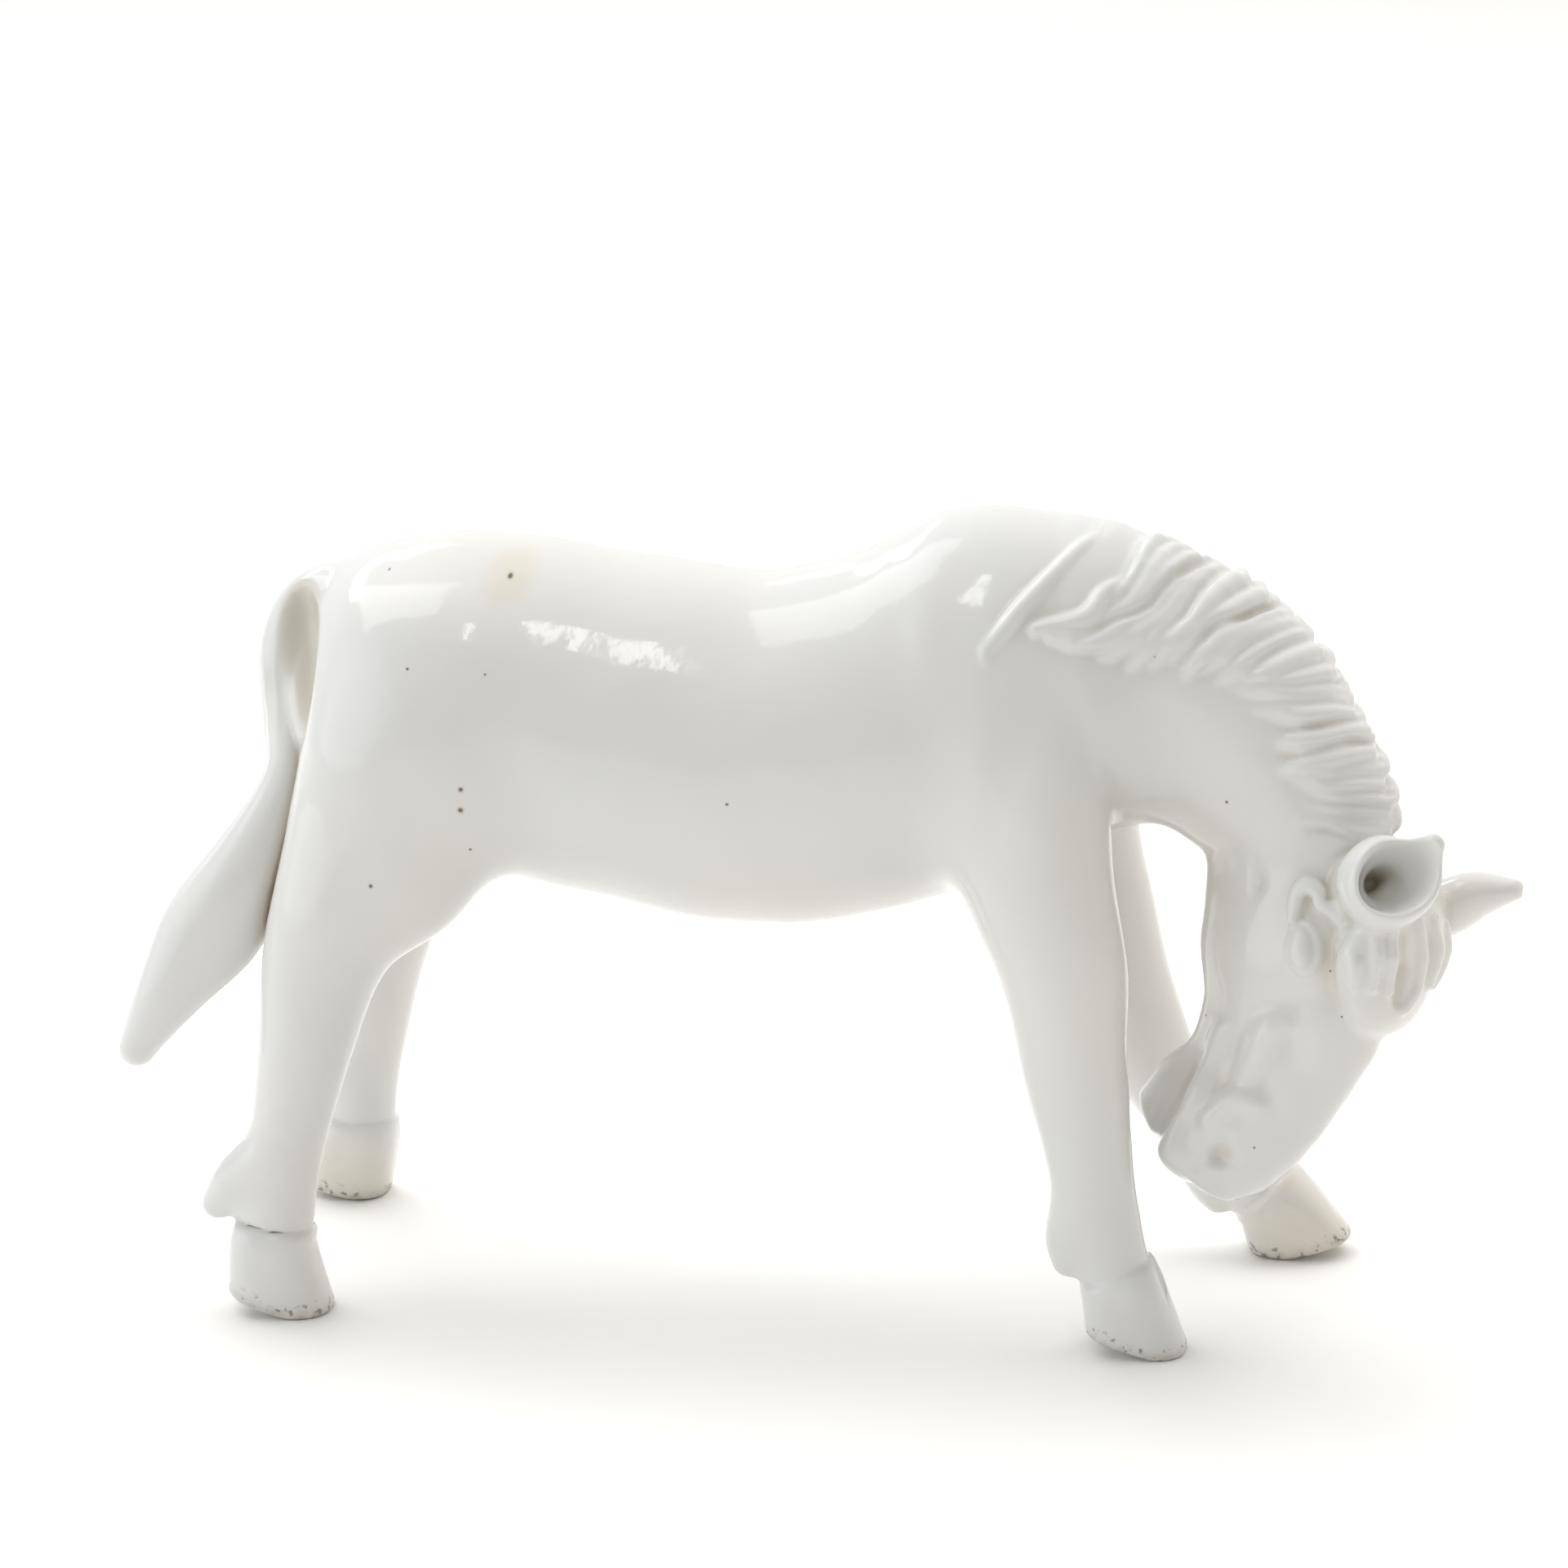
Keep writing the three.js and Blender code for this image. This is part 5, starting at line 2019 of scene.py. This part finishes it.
        pool, grime, sole = mark("pool"), mark("grime"), mark("sole")
        colour = shader.mixed(noise(self.tone_lumps).step(*self.tone_span), self.white, self.shade)
        # Pooled glaze in the grooves, and painted shade in the wider hollows and in the hollow beside the
        # dock, darken the colour towards a warm brown.
        deep = (pool * (0.55 + 0.6 * noise(self.pool_and_shade_lumps))).at_most(1.0)
        colour = shader.mixed(deep * self.pool_and_shade_most, colour, self.pooled_and_shaded)
        cells = shader.node("ShaderNodeTexVoronoi", None, Vector=place, Scale=self.dot_cells)
        few = Value(shader, shader.node("ShaderNodeSeparateColor", None, cells.outputs["Color"]).outputs[0])
        middles = 1.0 - Value(shader, cells.outputs["Distance"]).step(*self.dot_size)
        dots = middles * few.step(*self.dot_few)
        cloudy = 0.2 + noise(self.gloss_lumps, 3.0) * 0.7
        yellow = (1.0 - nearest(self.stains).step(*self.stain_fade)) * cloudy
        colour = shader.mixed(yellow * self.stain_most, colour, self.stain)
        if not worn:
            speck = nearest(self.specks)
            colour = shader.mixed((1.0 - speck.step(*self.rust_fade)) * self.rust_most, colour, self.rust)
            dots = dots.at_least(1.0 - speck.step(*self.speck_fade))
        colour = shader.mixed(dots * self.dot_most, colour, self.speck)
        dust = (grime * (0.35 + noise(self.dust_lumps, 4.0) * 1.1)).at_most(1.0)
        colour = shader.mixed(dust * self.dust_most, colour, self.dirt)
        rough = self.roughness + 0.05 * noise(self.gloss_lumps) + 0.35 * dust
        if worn:
            uneven = 0.35 + noise(self.edge_lumps, 4.0).step(*self.edge_span) * 0.6
            edge = (sole**self.edge_power) * uneven
            colour = shader.mixed(edge.at_most(1.0) * self.edge_most, colour, self.bare)
            flecks = sole.step(*self.fleck_rise) * noise(self.fleck_lumps, 3.0).step(*self.fleck_span)
            colour = shader.mixed(flecks * self.fleck_most, colour, self.soot)
            rough = rough + 0.4 * edge
        broad, fine = (noise(lumps) * share for lumps, share in zip(self.wave_lumps, self.wave_shares))
        bump = shader.node(
            "ShaderNodeBump",
            None,
            Strength=self.wave_strength,
            Distance=self.wave_height,
            Height=broad + fine,
        )
        glaze = shader.node(
            "ShaderNodeBsdfPrincipled",
            None,
            Base_Color=colour,
            Roughness=rough,
            IOR=self.bend,
            Normal=bump.outputs[0],
        )
        shader.node("ShaderNodeOutputMaterial", None, glaze.outputs[0])
        return shader.owner


# ---------------------------------------------------------------------------------------------------
# The figurine
# ---------------------------------------------------------------------------------------------------


@dataclass
class Figurine:
    """The whole horse: its pieces in the order in which they are put together."""

    FINE_PIECES = ("mane", "head", "ear", "eye", "brow", "forelock")

    grain: float = 0.3
    fine: float = 0.2
    glaze: Glaze = field(default_factory=Glaze)
    half_seam: float = 0.15
    head_pose: Triple = (-17.2, 105.6, -24.3)
    leg_roots: Pair = (13, 5.5)
    margin: float = 3
    thumb: tuple[float, Pair] = (0.1, (8, 22))
    melt: Pair = (0.26, 0.17)
    fine_margin: float = 2
    fine_rear: float = 4
    fine_drop: float = 31
    fine_left: float = 14
    fine_rim: float = 1.5
    face_thumb: tuple[float, Pair] = (0.07, (3.5, 9))
    face: Triple = (14.0, 0, 2)
    face_reach: float = 20
    hollow_blurs: Pair = (0.9, 2.2)
    pool_near: Pair = (0.05, 0.28)
    wide_pool_and_shade: Triple = (0.5, 0.2, 0.8)
    muzzle_pool_and_shade: float = 0.45
    grime_hollow: Pair = (0.25, 0.1)
    grime_back: Pair = (38, 42)
    grime_height: Pair = (42, 47)
    horn: Rows = (
        (-0.291, 0, 0.46, 0.42, -0.22),
        (0.10, 0, 0.48, 0.42, -0.22),
        (0.42, 0.08, 0.47, 0.40, -0.19),
        (0.72, 0.42, 0.38, 0.34, -0.02),
        (1.03, 1, 0.17, 0.15, 0.05),
    )
    scoop: Rows = (
        (0.15, -0.4, 0.095, 0.11, -0.2),
        (0.38, -0.45, 0.23, 0.26, -0.19),
        (0.6, -0.28, 0.215, 0.25, -0.12),
        (0.82, 0.05, 0.11, 0.13, 0),
    )

    def __post_init__(self) -> None:
        """Take the trunk's place from the CAD frame, and set out the pieces from it."""
        low, high = (np.array(corner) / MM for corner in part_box("trunk_right_half"))
        trunk = Trunk()
        trunk.middle = (low[0] + trunk.domes[0] + trunk.length / 2, high[1] + self.half_seam)
        self.trunk = trunk
        lean, nod, aside = (math.radians(a) for a in self.head_pose)
        pose = Matrix.Rotation(aside, 3, "Z") @ Matrix.Rotation(lean, 3, "X") @ Matrix.Rotation(nod, 3, "Y")
        turn = pose.to_euler()
        self.neck = Neck(trunk, tuple(pose @ Vector((0, 1, 0))))
        poll = self.neck.loft().spine.at(np.array(1.0))
        self.head = Head(poll, turn)
        self.ears = [
            Ear(self.head, Side.RIGHT, direction=(-0.43, -0.68, 0.58), back=(-0.93, 0, 0.59), pinch=1.0),
            Ear(
                self.head,
                Side.LEFT,
                direction=(-0.33, 0.68, 0.63),
                back=(-0.17, -0.84, 0.51),
                pinch=0.74,
                rings=self.horn,
                hollow=self.scoop,
            ),
        ]
        self.forelock = Forelock(self.head)
        self.mane = Mane(self.neck)
        self.tail = Tail(trunk)
        self.limbs = self._limbs()

    def _limbs(self) -> list[Limb]:
        """The four legs.

        Returns:
            The right and left hind legs, then the right and left forelegs.
        """
        hind_rings = (
            (0, 0.422, 1.091, 0.429, 0.333, 0.31),
            (0.199, 0.597, 0.945, 0.5, 0.5, 0.429),
            (0.384, 0.714, 0.782, 0.457, 0.452, 0.419),
            (0.656, 0.838, 0.636, 0.379, 0.281, 0.3),
            (0.801, 0.922, 0.473, 0.314, 0.21, 0.214),
            (0.907, 0.974, 0.318, 0.264, 0.176, 0.176),
            (0.974, 0.994, 0.218, 0.25, 0.167, 0.181),
            (1, 1, 0.156, 0.25, 0.167, 0.157),
        )
        fore_right_rings = (
            (0, 0.455, 1.109, 0.43, 0.366, 0.396),
            (0.155, 0.711, 0.964, 0.5, 0.402, 0.512),
            (0.278, 0.893, 0.8, 0.453, 0.384, 0.451),
            (0.485, 1.008, 0.655, 0.391, 0.348, 0.354),
            (0.639, 1.058, 0.487, 0.336, 0.28, 0.293),
            (0.784, 1.041, 0.32, 0.289, 0.232, 0.238),
            (0.876, 1.017, 0.207, 0.281, 0.232, 0.244),
            (1, 1, 0.142, 0.273, 0.201, 0.189),
        )
        fore_left_rings = (
            (0, 0.357, 1.109, 0.43, 0.366, 0.396),
            (0.074, 0.558, 0.945, 0.5, 0.488, 0.512),
            (0.123, 0.701, 0.764, 0.453, 0.402, 0.427),
            (0.245, 0.792, 0.6, 0.391, 0.341, 0.341),
            (0.392, 0.87, 0.435, 0.344, 0.293, 0.293),
            (0.564, 0.935, 0.304, 0.305, 0.244, 0.244),
            (0.77, 0.974, 0.202, 0.281, 0.226, 0.238),
            (1, 1, 0.116, 0.273, 0.207, 0.201),
        )
        hind_tuft = ((6.5, 0.6, 2.8), (3.6, 3.2, 2.8), (0.7, 5.5, 1.5))
        fore_tuft = ((6, 0.8, 2.6), (3.8, 2.8, 2.4), (1.6, 3.9, 1.5))
        hind = {
            "trunk": self.trunk,
            "end": "hind",
            "root": self.trunk.buttock + self.leg_roots[0],
            "stride": -15.1,
            "stance": 15.4,
            "width": 14,
            "depth": 21,
            "rings": hind_rings,
            "tuft": hind_tuft,
        }
        fore = {
            "trunk": self.trunk,
            "end": "fore",
            "root": self.trunk.breast - self.leg_roots[1],
            "width": 12.8,
            "depth": 16.4,
            "tuft": fore_tuft,
        }
        near = {"side": Side.RIGHT, "stride": 9.7, "stance": 12.1, "rings": fore_right_rings}
        far = {"side": Side.LEFT, "stride": 20.4, "stance": 15.4, "rings": fore_left_rings}
        return [
            Limb(**hind, side=Side.RIGHT, sole=(0.4, -0.2, 10.2, 7.2, 16)),
            Limb(**hind, side=Side.LEFT, sole=(-1.7, 1.4, 8.2, 7, 12)),
            Limb(**fore, **near, sole=(2.5, -0.2, 9.2, 7, 16)),
            Limb(**fore, **far, sole=(4.7, 0.8, 10.6, 7, -16)),
        ]

    def model(self) -> tuple[Clay, Clay]:
        """Put the clay together, and soften it as the glaze does.

        Returns:
            The whole clay, and a finer block of it round the mane and the head.
        """
        low, high = (np.array(corner) / MM for corner in CAD_BOX)
        clay = Clay(low - self.margin, high + self.margin, self.grain)
        self.trunk.model(clay)
        self.neck.model(clay)
        for limb in self.limbs:
            limb.model(clay)
        self.tail.model(clay)
        clay.thumbed(*self.thumb)
        clay.field = clay.softened(self.melt[0])
        height = clay.grid(tuple(slice(0, int(n)) for n in clay.count))[2]
        np.maximum(clay.field, -height, out=clay.field)
        root = self.neck.loft().spine.at(np.array(0.0))
        around = self.fine_margin
        start = (root[0] - self.fine_rear, low[1] - around, self.head.poll[2] - self.fine_drop)
        stop = (high[0] + around, self.fine_left, high[2] + around)
        fine = clay.finer(start, stop, self.fine)
        self.mane.model(fine)
        self.head.model(fine)
        for ear in self.ears:
            ear.model(fine)
        self.forelock.model(fine)
        fine.thumbed(*self.face_thumb, self.head.out(np.array(self.face)), self.face_reach)
        fine.field = fine.softened(self.melt[1])
        clay.take_in(fine)
        return clay, fine

    def marks(self, clay: Clay, points: np.ndarray) -> dict[str, np.ndarray]:
        """Marks on the skin for the glaze: where it pools and where painted shade darkens the wider hollows,
        where dirt sits, and the edge of the soles.

        Args:
            clay: The clay.
            points: Points of its skin, in mm.

        Returns:
            Values from 0 to 1 for each point, by the mark's name.
        """
        hollow, wide = (-clay.sample(points, clay.softened(blur)) for blur in self.hollow_blurs)
        start, span = self.pool_near
        pool = np.clip((hollow - start) / span, 0, 1)
        # Painted shade: the wider hollows are darkened as if shade falls there, together with the glaze
        # pooled in them.
        share, start, span = self.wide_pool_and_shade
        pool = np.maximum(pool, share * np.clip((wide - start) / span, 0, 1))
        pool = pool * (1 - self.muzzle_pool_and_shade * self.head.muzzle(points))
        sole = np.max([limb.worn(points) for limb in self.limbs], axis=0)
        start, span = self.grime_hollow
        behind, below = smooth(-points[:, 0], *self.grime_back), 1 - smooth(points[:, 2], *self.grime_height)
        grime = np.clip((hollow - start) / span, 0, 1) * behind * below
        return {"pool": pool, "grime": grime, "sole": sole}

    def skin(self) -> tuple[Skin, dict[str, np.ndarray], Clay]:
        """The figurine's skin, finer at the mane and head.

        Returns:
            The skin, its marks by name, and its clay.
        """
        clay, fine = self.model()
        skin = clay.skin()
        start, stop = fine.low + self.fine_rim, fine.high - self.fine_rim
        small = np.array([name.startswith(self.FINE_PIECES) for name in clay.pieces])
        inside = np.all((skin.points > start) & (skin.points < stop), axis=1)
        skin = skin.split(small[skin.owners] & inside[skin.faces].all(1))
        inside = np.all((skin.points > start) & (skin.points < stop), axis=1)
        skin.points[inside], skin.normals[inside] = fine.settled(skin.points[inside])
        low, high = (np.array(corner) / MM for corner in CAD_BOX)
        skin.points = np.clip(skin.points, low, high)
        whole = inside[skin.faces].all(1)
        skin.owners[whole] = fine.owner_of(skin.points[skin.faces[whole]].mean(1))
        marks = self.marks(clay, skin.points)
        for name, values in self.marks(fine, skin.points[inside]).items():
            marks[name][inside] = values
        # Painted shade in the hollow beside the dock, carried in the same mark as the pooled glaze.
        marks["pool"] = np.maximum(marks["pool"], self.tail.shaded(skin.points))
        return skin, marks, clay

    def build(self) -> None:
        """Model the clay and cut its skin into pieces."""
        skin, marks, clay = self.skin()
        clear = self.glaze.material("porcelain_clear_glaze", False)
        worn = self.glaze.material("porcelain_worn_glaze", True)
        for number, name in enumerate(clay.pieces):
            faces = skin.faces[skin.owners == number]
            if not len(faces):
                LOG.warning("%s has no skin of its own", name)
                continue
            hoof = name.startswith("hoof")
            piece = self.cut(name, skin, faces, clay, marks, worn if hoof else clear)
            nodes = ["trunk_right_half", "trunk_left_half"] if name == "trunk" else [name]
            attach(piece, "root")
            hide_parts(*nodes)
            LOG.info("%s: %d faces", piece.name, len(piece.data.polygons))

    def cut(
        self,
        name: str,
        skin: Skin,
        faces: np.ndarray,
        clay: Clay,
        marks: dict[str, np.ndarray],
        material: bpy.types.Material,
    ) -> bpy.types.Object:
        """One piece of the skin, closed inside where it was cut from its neighbours.

        Args:
            name: The piece's name.
            skin: The whole skin.
            faces: The piece's faces.
            clay: The clay.
            marks: Marks on the skin.
            material: Its finish.

        Returns:
            The piece.
        """
        used, numbers = np.unique(faces, return_inverse=True)
        numbers = numbers.reshape(faces.shape)
        points, normals, lids, repeated = skin.lids(faces, clay)
        points = np.concatenate([skin.points[used], points])
        normals = np.concatenate([skin.normals[used], normals])
        mesh = bpy.data.meshes.new(f"{name}_skin")
        mesh.from_pydata((points * MM).tolist(), [], numbers.tolist() + (lids + len(used)).tolist())
        mesh.polygons.foreach_set("use_smooth", np.ones(len(mesh.polygons), bool))
        mesh.normals_split_custom_set_from_vertices(normals.tolist())
        for mark, values in marks.items():
            layer = mesh.attributes.new(mark, "FLOAT", "POINT")
            layer.data.foreach_set("value", values[np.concatenate([used, repeated])].astype(np.float32))
        mesh.materials.append(material)
        piece = bpy.data.objects.new(f"{name}_skin", mesh)
        bpy.context.scene.collection.objects.link(piece)
        return piece


# ---------------------------------------------------------------------------------------------------
# Studio
# ---------------------------------------------------------------------------------------------------


@dataclass(frozen=True)
class Softbox:
    """A soft light that faces the horse: place and size in m, and how bright it looks, with white as 1."""

    name: str
    at: Triple
    size: Pair
    glow: float
    mirrored: bool = True


@dataclass
class Studio:
    """A pale table, soft lights and the camera."""

    azimuth: float = 10
    elevation: float = 16
    distance: float = 520
    lens: float = 128.2
    sensor: float = 36
    clip: Pair = (0.01, 50)
    target: Triple = (-4.632, 7.503, 46)
    table_half: float = 4.0
    table_white: Row = (0.95, 0.94, 0.925, 1)
    table_roughness: float = 0.7
    lit: Triple = (0, 0, 0.05)
    softboxes: tuple[Softbox, ...] = (
        Softbox("key", (0.1, 0.32, 0.94), (1.2, 0.6), 2.1, mirrored=False),
        Softbox("window", (-0.46, 0.45, 0.50), (0.56, 0.10), 4.5),
        Softbox("panel", (-0.42, 0.08, 0.68), (0.42, 0.5), 1.9),
        Softbox("lamp", (-0.06, -0.38, 0.82), (0.035, 0.26), 8.0),
    )
    room: Pair = (0.53, 0.97)
    room_span: Pair = (-0.4, 0.6)
    cool: Triple = (0.955, 0.985, 1.0)
    warm: Triple = (1.0, 0.965, 0.905)
    warm_span: Pair = (-0.6, 0.7)
    wall: Triple = (-0.9, -0.43, 0.07)
    wall_span: Pair = (0.76, 0.97)
    wall_glow: float = 1.5

    def build(self) -> None:
        """Set everything up."""
        self.camera()
        self.table()
        for box in self.softboxes:
            self.hang(box)
        self.room_light()
        scene = bpy.context.scene
        scene.view_settings.view_transform = "Standard"
        scene.view_settings.look = "None"

    def camera(self) -> None:
        """Stand the camera where the photograph was taken from."""
        az, el = math.radians(self.azimuth), math.radians(self.elevation)
        back = Vector((math.sin(az) * math.cos(el), -math.cos(az) * math.cos(el), math.sin(el)))
        data = bpy.data.cameras.new("camera")
        data.lens, data.sensor_width = self.lens, self.sensor
        data.clip_start, data.clip_end = self.clip
        camera = bpy.data.objects.new("camera", data)
        camera.location = (Vector(self.target) + back * self.distance) * MM
        camera.rotation_euler = (-back).to_track_quat("-Z", "Y").to_euler()
        bpy.context.scene.collection.objects.link(camera)
        bpy.context.scene.camera = camera

    def table(self) -> None:
        """Lay the table."""
        mesh = bpy.data.meshes.new("table")
        half = self.table_half
        corners = [(-half, -half, 0), (half, -half, 0), (half, half, 0), (-half, half, 0)]
        mesh.from_pydata(corners, [], [(0, 1, 2, 3)])
        shader = Shader(bpy.data.materials.new("table_white"))
        matt = shader.node(
            "ShaderNodeBsdfPrincipled", None, Base_Color=self.table_white, Roughness=self.table_roughness
        )
        shader.node("ShaderNodeOutputMaterial", None, matt.outputs[0])
        mesh.materials.append(shader.owner)
        table = bpy.data.objects.new("table", mesh)
        bpy.context.scene.collection.objects.link(table)

    def hang(self, box: Softbox) -> None:
        """Hang a soft light.

        Args:
            box: The light.
        """
        data = bpy.data.lights.new(box.name, "AREA")
        data.shape, (data.size, data.size_y) = "RECTANGLE", box.size
        data.energy = box.glow * math.pi * box.size[0] * box.size[1]
        light = bpy.data.objects.new(box.name, data)
        light.location = box.at
        light.rotation_euler = (Vector(self.lit) - Vector(box.at)).to_track_quat("-Z", "Y").to_euler()
        light.visible_glossy = box.mirrored
        bpy.context.scene.collection.objects.link(light)

    def room_light(self) -> None:
        """Make the room bright behind the horse and on the wall at its tail, and warm before its nose."""
        shader = Shader(bpy.data.worlds.new("room"))
        aim = shader.node("ShaderNodeTexCoord").outputs["Generated"]
        x, y, z = (Value(shader, part) for part in shader.node("ShaderNodeSeparateXYZ", None, aim).outputs)
        colour = shader.mixed(x.step(*self.warm_span), self.cool, self.warm)
        low, high = self.room
        towards = x * self.wall[0] + y * self.wall[1] + z * self.wall[2]
        wall = towards.step(*self.wall_span) * self.wall_glow
        glow = low + (high - low) * y.step(*self.room_span) + wall
        back = shader.node("ShaderNodeBackground", None, colour, glow)
        shader.node("ShaderNodeOutputWorld", None, back.outputs[0])
        bpy.context.scene.world = shader.owner


def main() -> None:
    """Build the studio and the figurine."""
    logging.basicConfig(level=logging.INFO, format="%(name)s %(message)s")
    Studio().build()
    Figurine().build()


if __name__ == "__main__":
    main()
